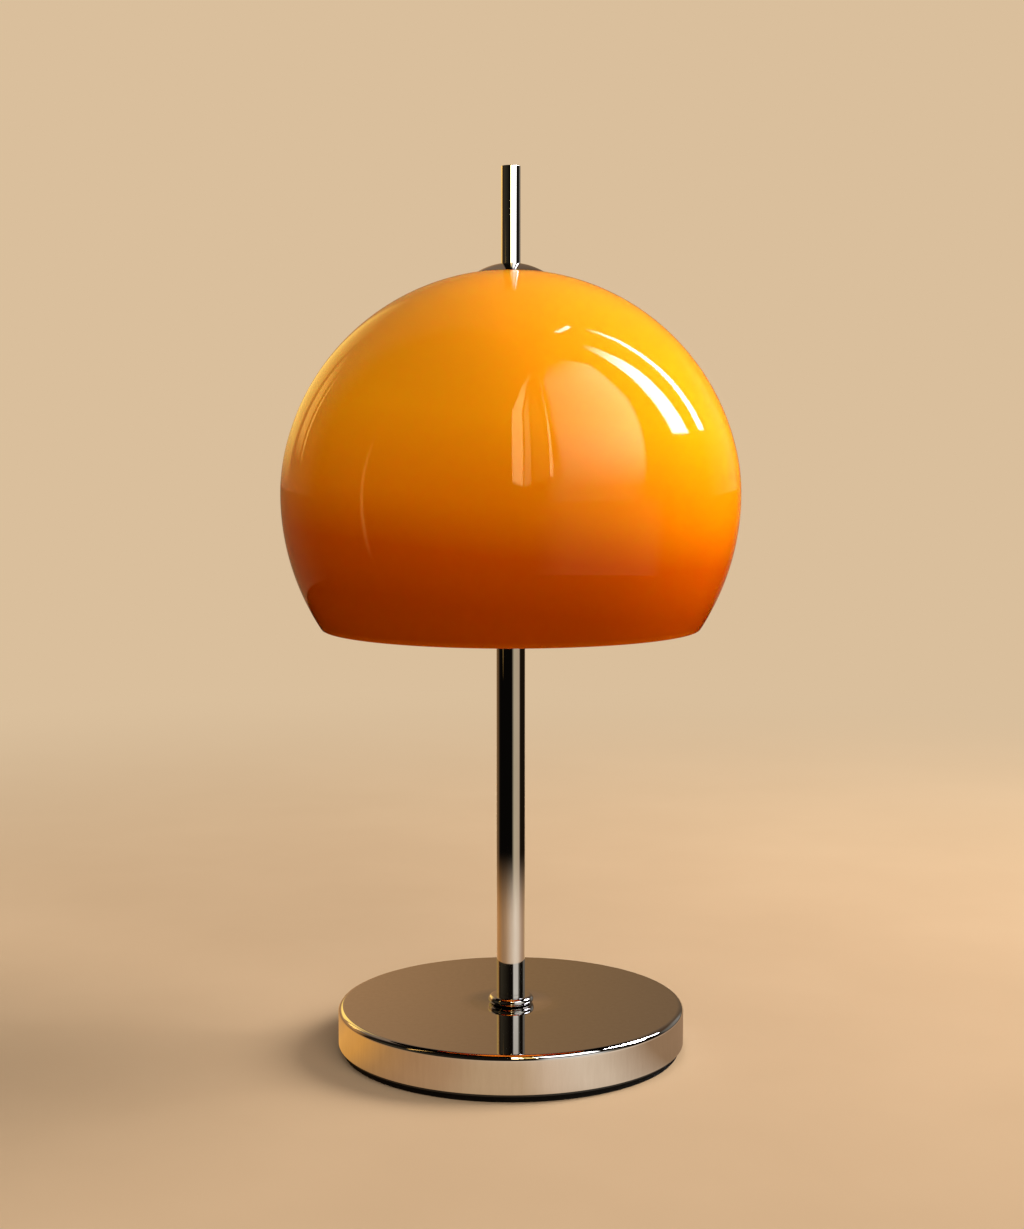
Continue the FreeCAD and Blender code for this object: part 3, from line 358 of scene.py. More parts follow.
card("pane_line", [(18.8, 11.3), (20, 31), (22, 51), (26, 66)],
     [(20.4, 11.3), (21.4, 31), (23, 51), (26.6, 66)], 12.0, NEAR, top=0.6, tint_hex="#FFECC0")
card("pale_sheet", [(24, 4.5), (23, 40), (26, 60), (40, 68)],
     [(68, 4.5), (80, 39), (78, 60), (60, 68)], 8.5, NEAR, sides=0.06, bottom=0.2, top=0.4,
     left_share=0.36)
card("left_line", [(-78, -24), (-77, 27)], [(-74.5, -24), (-75, 27)], 4.0, NEAREST, sides=0.4,
     bottom=0.3, top=0.3, tint_hex="#FFC870")
card("left_rim", [(-172, -1), (-164, 30)], [(-143, 0), (-148, 32)], 1.5, sides=0.12, bottom=0.2,
     top=0.5, tint_hex="#FFD573")
card("left_gold", [(-141, 6), (-146, 28)], [(-132, 6), (-138, 28)], 2.2, sides=0.12, bottom=0.25,
     top=0.4, tint_hex="#FFCC70")
card("left_edge", [(-130.5, 6), (-136, 28)], [(-128, 6), (-134, 28)], 3.2, sides=0.2, bottom=0.25,
     top=0.4, tint_hex="#FFD070")

# A glowing ring under the crown, seen only in gloss, is a painted reflection of the shade's lit
# inside, as the base's edge and the collar mirror it.  It hangs at a height that is inside the
# shade at every height of the head.
GLOW_OUTER, GLOW_INNER = 0.082, 0.02
GLOW_HEIGHT = 0.4
GLOW_SIDES = 48
GLOW_TINT, GLOW_LIGHT = "#FF8420", 1.7
bpy.ops.mesh.primitive_circle_add(vertices=GLOW_SIDES, radius=GLOW_OUTER, fill_type="NGON",
                                  location=(0, 0, GLOW_HEIGHT))
bpy.ops.object.mode_set(mode="EDIT")
bpy.ops.mesh.select_all(action="SELECT")
bpy.ops.mesh.inset(thickness=GLOW_OUTER - GLOW_INNER)
bpy.ops.mesh.delete(type="FACE")
bpy.ops.object.mode_set(mode="OBJECT")
bpy.ops.object.transform_apply(location=True)
glow_ring = bpy.context.object
glow_ring.name = "shade_glow"
amber, tree = new_finish("amber_glow")
glow = add(tree, "ShaderNodeEmission", {"Color": colour(GLOW_TINT), "Strength": GLOW_LIGHT})
add(tree, "ShaderNodeOutputMaterial", {"Surface": glow.outputs[0]})
glow_ring.data.materials.append(amber)
seen_in_gloss_only(glow_ring)

# A black sheet under the shade, seen only in gloss, paints a dark reflection in the shade's skirt
# in place of the bright floor.  It clears what the stem and the base mirror, and is open behind.
CLOTH_SPREAD = math.radians(158)
CLOTH_INNER, CLOTH_OUTER = 0.104, 0.2
CLOTH_HEIGHT, CLOTH_FALL = 0.235, 0.09
CLOTH_STEPS = 64
bpy.ops.mesh.primitive_grid_add(x_subdivisions=CLOTH_STEPS, y_subdivisions=1, size=2)
flag = bpy.context.object
flag.name = "black_flag"
for vertex in flag.data.vertices:
    turn, out = vertex.co.x * CLOTH_SPREAD, (CLOTH_OUTER - CLOTH_INNER) * (vertex.co.y + 1) / 2
    reach_out = CLOTH_INNER + out
    vertex.co = (reach_out * math.sin(turn), -reach_out * math.cos(turn),
                 CLOTH_HEIGHT - CLOTH_FALL * out)
painted_dark_reflection, tree = new_finish("painted_dark_reflection")
dark_reflection_surface = add(tree, "ShaderNodeBsdfDiffuse", {"Color": colour("#060504")})
add(tree, "ShaderNodeOutputMaterial", {"Surface": dark_reflection_surface.outputs[0]})
flag.data.materials.append(painted_dark_reflection)
seen_in_gloss_only(flag)


# ---- foot pad --------------------------------------------------------------------------------
# Disc of pressed black felt glued under the base.  Its cut edge shows as a dark, slightly furry
# line between the chrome and the table.
def dress(material, *node_names):
    """Give the CAD nodes of those names the finish."""
    for node_name in node_names:
        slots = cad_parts[node_name].data.materials
        slots.clear()
        slots.append(material)


FELT_FIBRE = 0.8 * MM
felt, tree = new_finish("pressed_black_felt")
place = add(tree, "ShaderNodeTexCoord")
fibres = add(tree, "ShaderNodeTexNoise", {"Vector": place.outputs["Object"],
                                          "Scale": 1 / FELT_FIBRE, "Detail": 6.0,
                                          "Roughness": 0.7})
tint = add(tree, "ShaderNodeValToRGB", {"Fac": fibres.outputs["Fac"]},
           stops=[(0.35, "#020202"), (0.75, "#0D0C0B")])
fuzz = add(tree, "ShaderNodeBump", {"Height": fibres.outputs["Fac"], "Distance": 0.3 * MM,
                                    "Strength": 0.8})
skin = add(tree, "ShaderNodeBsdfPrincipled", {
    "Base Color": tint.outputs["Color"], "Roughness": 0.95, "Specular IOR Level": 0.2,
    "Normal": fuzz.outputs["Normal"]})
add(tree, "ShaderNodeOutputMaterial", {"Surface": skin.outputs["BSDF"]})
dress(felt, "foot_pad")

# ---- base plate ------------------------------------------------------------------------------
# Steel disc that closes the base from below, sprayed satin black: an even, slightly pebbled coat.
# Four pan-head screws hold it to the weight.
PAINT_PEBBLE = 0.6 * MM
enamel, tree = new_finish("satin_black_enamel")
place = add(tree, "ShaderNodeTexCoord")
pebble = add(tree, "ShaderNodeTexNoise", {"Vector": place.outputs["Object"],
                                          "Scale": 1 / PAINT_PEBBLE, "Detail": 2.0})
tint = add(tree, "ShaderNodeValToRGB", {"Fac": pebble.outputs["Fac"]},
           stops=[(0.3, "#0C0C0D"), (0.7, "#151516")])
skin_bump = add(tree, "ShaderNodeBump", {"Height": pebble.outputs["Fac"], "Distance": 0.03 * MM,
                                         "Strength": 0.5})
skin = add(tree, "ShaderNodeBsdfPrincipled", {
    "Base Color": tint.outputs["Color"], "Roughness": 0.42, "Normal": skin_bump.outputs["Normal"]})
add(tree, "ShaderNodeOutputMaterial", {"Surface": skin.outputs["BSDF"]})
dress(enamel, "base_plate")

# ---- base weight -----------------------------------------------------------------------------
# Grey iron casting in dark primer: a coarse sand skin with a few rusty specks.  It stands on the
# plate and fills the cover but for the chamber of the wiring.
SAND_GRAIN = 1.2 * MM
iron, tree = new_finish("primed_grey_iron")
place = add(tree, "ShaderNodeTexCoord")
sand = add(tree, "ShaderNodeTexNoise", {"Vector": place.outputs["Object"], "Scale": 1 / SAND_GRAIN,
                                        "Detail": 5.0})
tint = add(tree, "ShaderNodeValToRGB", {"Fac": sand.outputs["Fac"]},
           stops=[(0.3, "#24211F"), (0.62, "#3B3836"), (0.8, "#5A3E2C")])
crust = add(tree, "ShaderNodeBump", {"Height": sand.outputs["Fac"], "Distance": 0.2 * MM})
skin = add(tree, "ShaderNodeBsdfPrincipled", {
    "Base Color": tint.outputs["Color"], "Metallic": 0.3, "Roughness": 0.8,
    "Normal": crust.outputs["Normal"]})
add(tree, "ShaderNodeOutputMaterial", {"Surface": skin.outputs["BSDF"]})
dress(iron, "base_weight")

# ---- bright chrome ---------------------------------------------------------------------------
# Polished chromium plate, a very slightly warm mirror.  Wiping leaves hair-fine haze that only
# shows as a faint softening of the reflections, drawn coarser than the real 0.05 mm scratches.
WIPE_MARK = 3 * MM
WIPE_STRETCH = (1.0, 1.0, 0.12)
chrome, tree = new_finish("polished_chrome")
place = add(tree, "ShaderNodeTexCoord")
stretch = add(tree, "ShaderNodeMapping", {"Vector": place.outputs["Object"],
                                          "Scale": WIPE_STRETCH})
wipes = add(tree, "ShaderNodeTexNoise", {"Vector": stretch.outputs["Vector"],
                                         "Scale": 1 / WIPE_MARK, "Detail": 4.0,
                                         "Roughness": 0.65})
haze = add(tree, "ShaderNodeMapRange", {"Value": wipes.outputs["Fac"], "From Min": 0.35,
                                        "From Max": 0.8, "To Min": 0.02, "To Max": 0.055})
tint = add(tree, "ShaderNodeValToRGB", {"Fac": wipes.outputs["Fac"]},
           stops=[(0.3, "#DEDCD9"), (0.8, "#D6D3CF")])
skin = add(tree, "ShaderNodeBsdfPrincipled", {
    "Base Color": tint.outputs["Color"], "Metallic": 1.0, "Roughness": haze.outputs["Result"]})
add(tree, "ShaderNodeOutputMaterial", {"Surface": skin.outputs["BSDF"]})


# ---- base cover ------------------------------------------------------------------------------
# Chromed steel pressing, 1.2 mm thick, with a rolled top edge.  The cable outlet is punched in
# its back wall, and the flat top mirrors the stem.
SEAM = 0.005 * MM


def lathe(name, start, moves, steps):
    """Piece turned round the Z axis from an outline whose moves are given one by one: a point is
    extruded ("to", radius, height) or swung ("arc", centre radius, centre height, degrees, steps)."""
    bpy.ops.mesh.primitive_plane_add(size=MM, location=(start[0], 0, start[1]))
    made = bpy.context.object
    made.name = name
    bpy.ops.object.transform_apply(location=True, rotation=True, scale=True)
    bpy.ops.object.mode_set(mode="EDIT")
    bpy.ops.mesh.select_mode(type="VERT")
    bpy.ops.mesh.select_all(action="SELECT")
    bpy.ops.mesh.merge(type="CENTER")
    here = Vector((start[0], 0, start[1]))
    for move in moves:
        if move[0] == "to":
            there = Vector((move[1], 0, move[2]))
            bpy.ops.mesh.extrude_region_move(TRANSFORM_OT_translate={"value": there - here})
        else:
            centre = Vector((move[1], 0, move[2]))
            angle = math.radians(move[3])
            bpy.ops.mesh.spin(steps=move[4], angle=angle, center=centre, axis=(0, 1, 0))
            arm = here - centre
            there = centre + Vector((arm.x * math.cos(angle) - arm.z * math.sin(angle), 0,
                                     arm.x * math.sin(angle) + arm.z * math.cos(angle)))
        here = there
    bpy.ops.mesh.select_all(action="SELECT")
    bpy.ops.mesh.spin(steps=steps, angle=2 * math.pi, center=(0, 0, 0), axis=(0, 0, 1))
    bpy.ops.mesh.select_all(action="SELECT")
    bpy.ops.mesh.remove_doubles(threshold=SEAM)
    bpy.ops.mesh.normals_make_consistent(inside=False)
    bpy.ops.object.mode_set(mode="OBJECT")
    return made


SHARP = math.radians(60)


def add_wall(made, thickness):
    """Give a shell its wall, inwards."""
    wall = made.modifiers.new("wall", "SOLIDIFY")
    wall.thickness = thickness
    wall.offset = -1
    wall.use_even_offset = True


def round_edges(made, name, width, segments):
    """Round the sharp edges of a piece."""
    rounding = made.modifiers.new(name, "BEVEL")
    rounding.width = width
    rounding.segments = segments
    rounding.limit_method = "ANGLE"
    rounding.angle_limit = SHARP


def apply_modifiers(made):
    """Make a piece's modifiers part of its mesh, in their order."""
    for modifier in list(made.modifiers):
        bpy.ops.object.modifier_apply(modifier=modifier.name)


def settle(made, material, body, slot, *node_names, crease=35):
    """Finish a piece: smooth shading up to the crease angle, material, body and nodes; the slot is
    not used.
    """
    bpy.ops.object.select_all(action="DESELECT")
    made.select_set(True)
    bpy.context.view_layer.objects.active = made
    bpy.ops.object.shade_smooth_by_angle(angle=math.radians(crease))
    made.data.materials.clear()
    made.data.materials.append(material)
    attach(made, body)
    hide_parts(*node_names)
    bpy.ops.object.select_all(action="DESELECT")


low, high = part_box("base_cover")
EDGE_ROUND = 3 * MM
EDGE_LOOP = 0.5 * MM                # a loop this far from the rolled edge keeps both flats flat
FOOT_LOOP = 1.5 * MM
TOP_LOOPS = 60 * MM, 30 * MM
COVER_WALL = 1.2 * MM
NIPPLE_HOLE = 5.05 * MM
cover = lathe("base_shell", (high.x, low.z), [
    ("to", high.x, low.z + FOOT_LOOP),
    ("to", high.x, high.z - EDGE_ROUND - EDGE_LOOP),
    ("to", high.x, high.z - EDGE_ROUND),
    ("arc", high.x - EDGE_ROUND, high.z - EDGE_ROUND, 90, 12),
    ("to", high.x - EDGE_ROUND - EDGE_LOOP, high.z),
    ("to", TOP_LOOPS[0], high.z),
    ("to", TOP_LOOPS[1], high.z),
    ("to", NIPPLE_HOLE, high.z),
], steps=256)
add_wall(cover, COVER_WALL)
OUTLET_RADIUS = 4.5 * MM
OUTLET_HEIGHT = 12.5 * MM
PUNCH_LENGTH = 20 * MM
bpy.ops.mesh.primitive_cylinder_add(
    vertices=48, radius=OUTLET_RADIUS, depth=PUNCH_LENGTH, location=(0, high.y, OUTLET_HEIGHT),
    rotation=(math.pi / 2, 0, 0))
punch = bpy.context.object
outlet = cover.modifiers.new("outlet", "BOOLEAN")
outlet.operation = "DIFFERENCE"
outlet.object = punch
bpy.context.view_layer.objects.active = cover
HEM = 0.4 * MM
round_edges(cover, "hem", HEM, 3)
apply_modifiers(cover)
bpy.data.objects.remove(punch)
settle(cover, chrome, "base", "chrome_plate", "base_cover")

# ---- cable grommet ---------------------------------------------------------------------------
# Moulded black rubber bush in the cover's back wall, flanged on both sides of it: dull, with a
# faint bloom.  The two gaskets that hold the shade are of the same rubber.
BLOOM = 2.5 * MM
rubber, tree = new_finish("moulded_black_rubber")
place = add(tree, "ShaderNodeTexCoord")
bloom = add(tree, "ShaderNodeTexNoise", {"Vector": place.outputs["Object"], "Scale": 1 / BLOOM,
                                         "Detail": 5.0})
tint = add(tree, "ShaderNodeValToRGB", {"Fac": bloom.outputs["Fac"]},
           stops=[(0.3, "#0D0C0C"), (0.8, "#232120")])
dull = add(tree, "ShaderNodeMapRange", {"Value": bloom.outputs["Fac"], "To Min": 0.5,
                                        "To Max": 0.75})
skin = add(tree, "ShaderNodeBsdfPrincipled", {
    "Base Color": tint.outputs["Color"], "Roughness": dull.outputs["Result"]})
add(tree, "ShaderNodeOutputMaterial", {"Surface": skin.outputs["BSDF"]})
dress(rubber, "cable_grommet", "shade_gasket", "cap_gasket")

# ---- terminal block --------------------------------------------------------------------------
# Ivory moulding that joins the supply to the inner cable: matt, with flow marks of the mould.
# It is fixed under the web of the weight.
FLOW_MARK = 5 * MM
ivory, tree = new_finish("ivory_moulding")
place = add(tree, "ShaderNodeTexCoord")
flow = add(tree, "ShaderNodeTexWave", {"Vector": place.outputs["Object"], "Scale": 1 / FLOW_MARK,
                                       "Distortion": 4.0, "Detail": 2.0})
tint = add(tree, "ShaderNodeValToRGB", {"Fac": flow.outputs["Fac"]},
           stops=[(0.0, "#D8D0BA"), (1.0, "#E2DBC8")])
skin = add(tree, "ShaderNodeBsdfPrincipled", {"Base Color": tint.outputs["Color"],
                                              "Roughness": 0.5})
add(tree, "ShaderNodeOutputMaterial", {"Surface": skin.outputs["BSDF"]})
dress(ivory, "terminal_block")

# ---- plated fasteners ------------------------------------------------------------------------
# Screws, nipples, nut, washer, plug and split spring are steel, turned or pressed and then plated
# with zinc: grey and finely crystalline.
SPANGLE = 0.7 * MM
zinc, tree = new_finish("zinc_plated_steel")
place = add(tree, "ShaderNodeTexCoord")
spangle = add(tree, "ShaderNodeTexVoronoi", {"Vector": place.outputs["Object"],
                                             "Scale": 1 / SPANGLE})
tint = add(tree, "ShaderNodeValToRGB", {"Fac": spangle.outputs["Distance"]},
           stops=[(0.0, "#A9ABAD"), (0.8, "#C3C5C6")])
dull = add(tree, "ShaderNodeMapRange", {"Value": spangle.outputs["Distance"], "To Min": 0.28,
                                        "To Max": 0.42})
skin = add(tree, "ShaderNodeBsdfPrincipled", {
    "Base Color": tint.outputs["Color"], "Metallic": 1.0, "Roughness": dull.outputs["Result"]})
add(tree, "ShaderNodeOutputMaterial", {"Surface": skin.outputs["BSDF"]})
dress(zinc, "base_screws", "grub_screws", "nipple_washer", "nipple_nut", "base_nipple",
      "arm_nipples", "stem_foot_plug", "slider_spring")

# ---- stem tube -------------------------------------------------------------------------------
# Drawn steel tube, 16 mm across, chromed, and brazed on a threaded plug that a nut pulls down on
# the base.  The rod slides in it.
low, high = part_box("stem_tube")
TUBE_WALL = 1 * MM
TUBE_CHAMFER = 0.3 * MM
STEM_LOOPS = 60 * MM, 140 * MM
stem = lathe("stem_pipe", (high.x - TUBE_WALL, low.z), [
    ("to", high.x, low.z),
    ("to", high.x, low.z + STEM_LOOPS[0]),
    ("to", high.x, low.z + STEM_LOOPS[1]),
    ("to", high.x, high.z - TUBE_CHAMFER),
    ("to", high.x - TUBE_CHAMFER, high.z),
    ("to", high.x - TUBE_WALL, high.z),
    ("to", high.x - TUBE_WALL, low.z),
], steps=128)
settle(stem, chrome, "base", "chrome_plate", "stem_tube")

# ---- collar ring -----------------------------------------------------------------------------
# Turned half-round bead, chromed, that goes round the foot of the stem and hides its joint with
# the base.
low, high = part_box("collar_ring")
BEAD_BORE = 8.05 * MM
BEAD_ROUND = (high.z - low.z) / 2
collar = lathe("collar_bead", (BEAD_BORE, low.z), [
    ("to", high.x - BEAD_ROUND, low.z),
    ("arc", high.x - BEAD_ROUND, low.z + BEAD_ROUND, 180, 20),
    ("to", BEAD_BORE, high.z),
    ("to", BEAD_BORE, low.z),
], steps=128)
settle(collar, chrome, "base", "chrome_plate", "collar_ring", crease=50)

# ---- stem bush and slider --------------------------------------------------------------------
# Turned and moulded natural nylon, a waxy off-white.  The bush's rim shows on top of the stem, and
# the slider is the sleeve on the foot of the rod.
TOOL_MARK = 0.4 * MM
nylon, tree = new_finish("natural_nylon")
place = add(tree, "ShaderNodeTexCoord")
rings = add(tree, "ShaderNodeTexWave", {"Vector": place.outputs["Object"], "Scale": 1 / TOOL_MARK,
                                        "Distortion": 0.5}, bands_direction="Z")
tint = add(tree, "ShaderNodeValToRGB", {"Fac": rings.outputs["Fac"]},
           stops=[(0.0, "#E4E0D2"), (1.0, "#EBE7DB")])
marks = add(tree, "ShaderNodeBump", {"Height": rings.outputs["Fac"], "Distance": 0.02 * MM})
skin = add(tree, "ShaderNodeBsdfPrincipled", {
    "Base Color": tint.outputs["Color"], "Roughness": 0.45, "Subsurface Weight": 0.1,
    "Subsurface Radius": (1.0 * MM, 0.8 * MM, 0.6 * MM), "Normal": marks.outputs["Normal"]})
add(tree, "ShaderNodeOutputMaterial", {"Surface": skin.outputs["BSDF"]})
dress(nylon, "stem_bush", "slider")

# ---- sliding rod -----------------------------------------------------------------------------
# One chromed tube from the slider in the stem to the handle above the shade.  The flat milled on
# its back runs in the keyed bush, so that the head can't turn.
low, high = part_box("sliding_rod")
FLAT_DEPTH = 0.5 * MM
FLAT_SHOULDER = 0.05 * MM
FLAT_ABOVE_BUSH = 0.3 * MM
FLAT_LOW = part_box("slider")[1].z
FLAT_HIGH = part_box("stem_bush")[1].z + FLAT_ABOVE_BUSH
rod = lathe("handle_rod", (high.x - TUBE_WALL, low.z), [
    ("to", high.x, low.z),
    ("to", high.x, FLAT_LOW - FLAT_SHOULDER),
    ("to", high.x, FLAT_LOW),
    ("to", high.x, FLAT_HIGH),
    ("to", high.x, FLAT_HIGH + FLAT_SHOULDER),
    ("to", high.x, high.z),
    ("to", high.x - TUBE_WALL, high.z),
    ("to", high.x - TUBE_WALL, low.z),
], steps=128)
flat_plane = high.x - FLAT_DEPTH
bpy.ops.object.mode_set(mode="EDIT")
bpy.ops.mesh.select_all(action="DESELECT")
bpy.ops.object.mode_set(mode="OBJECT")
for vertex in rod.data.vertices:
    between = FLAT_LOW - SEAM < vertex.co.z < FLAT_HIGH + SEAM
    vertex.select = between and vertex.co.y > flat_plane
bpy.ops.object.mode_set(mode="EDIT")
bpy.ops.transform.resize(value=(1, 0, 1), center_override=(0, flat_plane, 0))
bpy.ops.object.mode_set(mode="OBJECT")
settle(rod, chrome, "head", "chrome_plate", "sliding_rod")

# ---- rod plug --------------------------------------------------------------------------------
# Turned chromed button that closes the handle's end, with a small round on its face.  Its shank
# sits in the bore of the rod.
low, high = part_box("rod_plug")
PLUG_EDGE = 0.3 * MM
PLUG_HEAD = 1.2 * MM
PLUG_SHANK = 4.25 * MM
plug = lathe("handle_plug", (0, low.z), [
    ("to", PLUG_SHANK, low.z),
    ("to", PLUG_SHANK, high.z - PLUG_HEAD),
    ("to", high.x, high.z - PLUG_HEAD),
    ("to", high.x, high.z - PLUG_EDGE),
    ("arc", high.x - PLUG_EDGE, high.z - PLUG_EDGE, 90, 4),
    ("to", 0, high.z),
], steps=128)
settle(plug, chrome, "head", "chrome_plate", "rod_plug")

# ---- lamp cluster hub ------------------------------------------------------------------------
# Zinc die-casting and its pressed lid: tumbled, grey and softly shining.  Two grub screws in its
# neck hold it on the rod.
TUMBLE = 1.5 * MM
die_cast, tree = new_finish("tumbled_zinc")
place = add(tree, "ShaderNodeTexCoord")
dents = add(tree, "ShaderNodeTexNoise", {"Vector": place.outputs["Object"], "Scale": 1 / TUMBLE,
                                         "Detail": 3.0})
tint = add(tree, "ShaderNodeValToRGB", {"Fac": dents.outputs["Fac"]},
           stops=[(0.3, "#9A9C9E"), (0.8, "#B0B2B3")])
peen = add(tree, "ShaderNodeBump", {"Height": dents.outputs["Fac"], "Distance": 0.05 * MM})
skin = add(tree, "ShaderNodeBsdfPrincipled", {
    "Base Color": tint.outputs["Color"], "Metallic": 1.0, "Roughness": 0.38,
    "Normal": peen.outputs["Normal"]})
add(tree, "ShaderNodeOutputMaterial", {"Surface": skin.outputs["BSDF"]})
dress(die_cast, "cluster_hub", "cluster_lid")

# ---- lampholders -----------------------------------------------------------------------------
# Caps and skirts are black phenolic mouldings: hard gloss over a faint mottle of filler.  Each
# holder is screwed on the nipple of its arm.
FILLER = 2 * MM
phenolic, tree = new_finish("black_phenolic")
place = add(tree, "ShaderNodeTexCoord")
filler = add(tree, "ShaderNodeTexNoise", {"Vector": place.outputs["Object"], "Scale": 1 / FILLER,
                                          "Detail": 4.0})
tint = add(tree, "ShaderNodeValToRGB", {"Fac": filler.outputs["Fac"]},
           stops=[(0.35, "#0B0907"), (0.75, "#1C1612")])
skin = add(tree, "ShaderNodeBsdfPrincipled", {"Base Color": tint.outputs["Color"],
                                              "Roughness": 0.2})
add(tree, "ShaderNodeOutputMaterial", {"Surface": skin.outputs["BSDF"]})
dress(phenolic, "holder_caps", "holder_skirts")

# The inserts are fired steatite, white with a fine dry grain.
CLAY_GRAIN = 0.5 * MM
steatite, tree = new_finish("fired_steatite")
place = add(tree, "ShaderNodeTexCoord")
grain = add(tree, "ShaderNodeTexNoise", {"Vector": place.outputs["Object"],
                                         "Scale": 1 / CLAY_GRAIN})
tint = add(tree, "ShaderNodeValToRGB", {"Fac": grain.outputs["Fac"]},
           stops=[(0.3, "#DDD9CE"), (0.7, "#E9E6DD")])
skin = add(tree, "ShaderNodeBsdfPrincipled", {"Base Color": tint.outputs["Color"],
                                              "Roughness": 0.6})
add(tree, "ShaderNodeOutputMaterial", {"Surface": skin.outputs["BSDF"]})
dress(steatite, "holder_inserts")

# ---- lamps -----------------------------------------------------------------------------------
# Two globe lamps, screwed in the holders: a pressed metal cap and an opal glass envelope, white
# all through.
CAP_ROLL = 1 * MM
lamp_metal, tree = new_finish("pressed_lamp_cap")
place = add(tree, "ShaderNodeTexCoord")
roll = add(tree, "ShaderNodeTexNoise", {"Vector": place.outputs["Object"], "Scale": 1 / CAP_ROLL})
dull = add(tree, "ShaderNodeMapRange", {"Value": roll.outputs["Fac"], "To Min": 0.22,
                                        "To Max": 0.4})
skin = add(tree, "ShaderNodeBsdfPrincipled", {
    "Base Color": colour("#C9C4B8"), "Metallic": 1.0, "Roughness": dull.outputs["Result"]})
add(tree, "ShaderNodeOutputMaterial", {"Surface": skin.outputs["BSDF"]})
dress(lamp_metal, "lamp_caps")

OPAL_CLOUD = 8 * MM
opal, tree = new_finish("opal_lamp_glass")
place = add(tree, "ShaderNodeTexCoord")
cloud = add(tree, "ShaderNodeTexNoise", {"Vector": place.outputs["Object"],
                                         "Scale": 1 / OPAL_CLOUD})
tint = add(tree, "ShaderNodeValToRGB", {"Fac": cloud.outputs["Fac"]},
           stops=[(0.3, "#F0ECE2"), (0.7, "#F7F4EC")])
skin = add(tree, "ShaderNodeBsdfPrincipled", {
    "Base Color": tint.outputs["Color"], "Roughness": 0.18, "IOR": 1.5, "Subsurface Weight": 0.3,
    "Subsurface Radius": (3 * MM, 3 * MM, 3 * MM)})
add(tree, "ShaderNodeOutputMaterial", {"Surface": skin.outputs["BSDF"]})
dress(opal, "lamp_globes")

# ---- shade -----------------------------------------------------------------------------------
# One shell of translucent orange acrylic, 3 mm thick, moulded and polished.  The colour is golden
# at the crown and deepens to burnt orange towards the rim, partly the acrylic's own colour and
# partly painted shade of the lower half, which the lamps light less.  A brighter band painted
# along the rim's cut edge is a painted glow.
low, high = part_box("shade")
RIM_TOP, CROWN_TOP = low.z, high.z
SHADE_RADIUS = high.x
SHADE_WALL = 3 * MM
EQUATOR = 315 * MM
LOWER_RADIUS = 136.5 * MM
SKIRT_DEPTH = 74.8 * MM
SHOULDER_OFFSET = 18.5 * MM
CROWN_EXTRA = 0.5 * MM
HOLE_RADIUS = 9 * MM
lower_centre = SHADE_RADIUS - LOWER_RADIUS
skirt_angle = math.asin(SKIRT_DEPTH / LOWER_RADIUS)
rim_start = (lower_centre + LOWER_RADIUS * math.cos(skirt_angle), EQUATOR - SKIRT_DEPTH)
crown_radius = SHADE_RADIUS + CROWN_EXTRA
crown_drop = math.sqrt((SHOULDER_OFFSET + CROWN_EXTRA) ** 2 - SHOULDER_OFFSET ** 2)
shoulder_angle = math.degrees(math.atan2(crown_drop, SHOULDER_OFFSET))
hole_angle = math.degrees(math.acos(HOLE_RADIUS / crown_radius))
shade = lathe("shade_shell", rim_start, [
    ("arc", lower_centre, EQUATOR, math.degrees(skirt_angle), 24),
    ("arc", SHOULDER_OFFSET, EQUATOR, shoulder_angle, 10),
    ("arc", 0, EQUATOR - crown_drop, hole_angle - shoulder_angle, 44),
], steps=192)
add_wall(shade, SHADE_WALL)
POLISHED_ROUND = 1.3 * MM
round_edges(shade, "polish", POLISHED_ROUND, 5)
apply_modifiers(shade)

# Painted light: the colour runs more golden towards +X, where the key lamp stands, and deeper
# towards -X.
LIT_SIDE_TILT = 0.1
COLOUR_DRIFT = 2 * MM
SHADE_CLOUDS = 14.0                 # per metre
# Painted highlight: a brighter band along the rim's cut edge, mixed into the colour.
RIM_HIGHLIGHT_BAND, RIM_HIGHLIGHT_SHARE, RIM_HIGHLIGHT_TINT = 4 * MM, 0.75, "#C8660A"
# Acrylic's index is 1.49.  Here it is lower, because the real shade mirrors its room weakly and
# stays deep orange.
acrylic, tree = new_finish("orange_acrylic")
place = add(tree, "ShaderNodeTexCoord")
axes = add(tree, "ShaderNodeSeparateXYZ", {"Vector": place.outputs["Object"]})
cloud = add(tree, "ShaderNodeTexNoise", {"Vector": place.outputs["Object"],
                                         "Scale": SHADE_CLOUDS, "Detail": 2.0})
drift = add(tree, "ShaderNodeMapRange", {"Value": cloud.outputs["Fac"], "To Min": -COLOUR_DRIFT,
                                         "To Max": COLOUR_DRIFT})
lit_side_level = add(tree, "ShaderNodeMath", {0: axes.outputs["X"], 1: LIT_SIDE_TILT, 2: axes.outputs["Z"]},
             operation="MULTIPLY_ADD")
level = add(tree, "ShaderNodeMath", {0: lit_side_level.outputs[0], 1: drift.outputs["Result"]},
            operation="ADD")
depth = add(tree, "ShaderNodeMapRange", {"Value": level.outputs[0], "From Min": RIM_TOP,
                                         "From Max": CROWN_TOP})
# Golden crown to burnt orange rim: partly own colour, partly painted shade of the lower half.
tint = add(tree, "ShaderNodeValToRGB", {"Fac": depth.outputs["Result"]}, stops=[
    (0.00, "#A54200"), (0.10, "#AC4300"), (0.24, "#C25100"), (0.38, "#E27F02"), (0.60, "#F79D0A"),
    (0.80, "#F79B12"), (1.00, "#F1981C")])
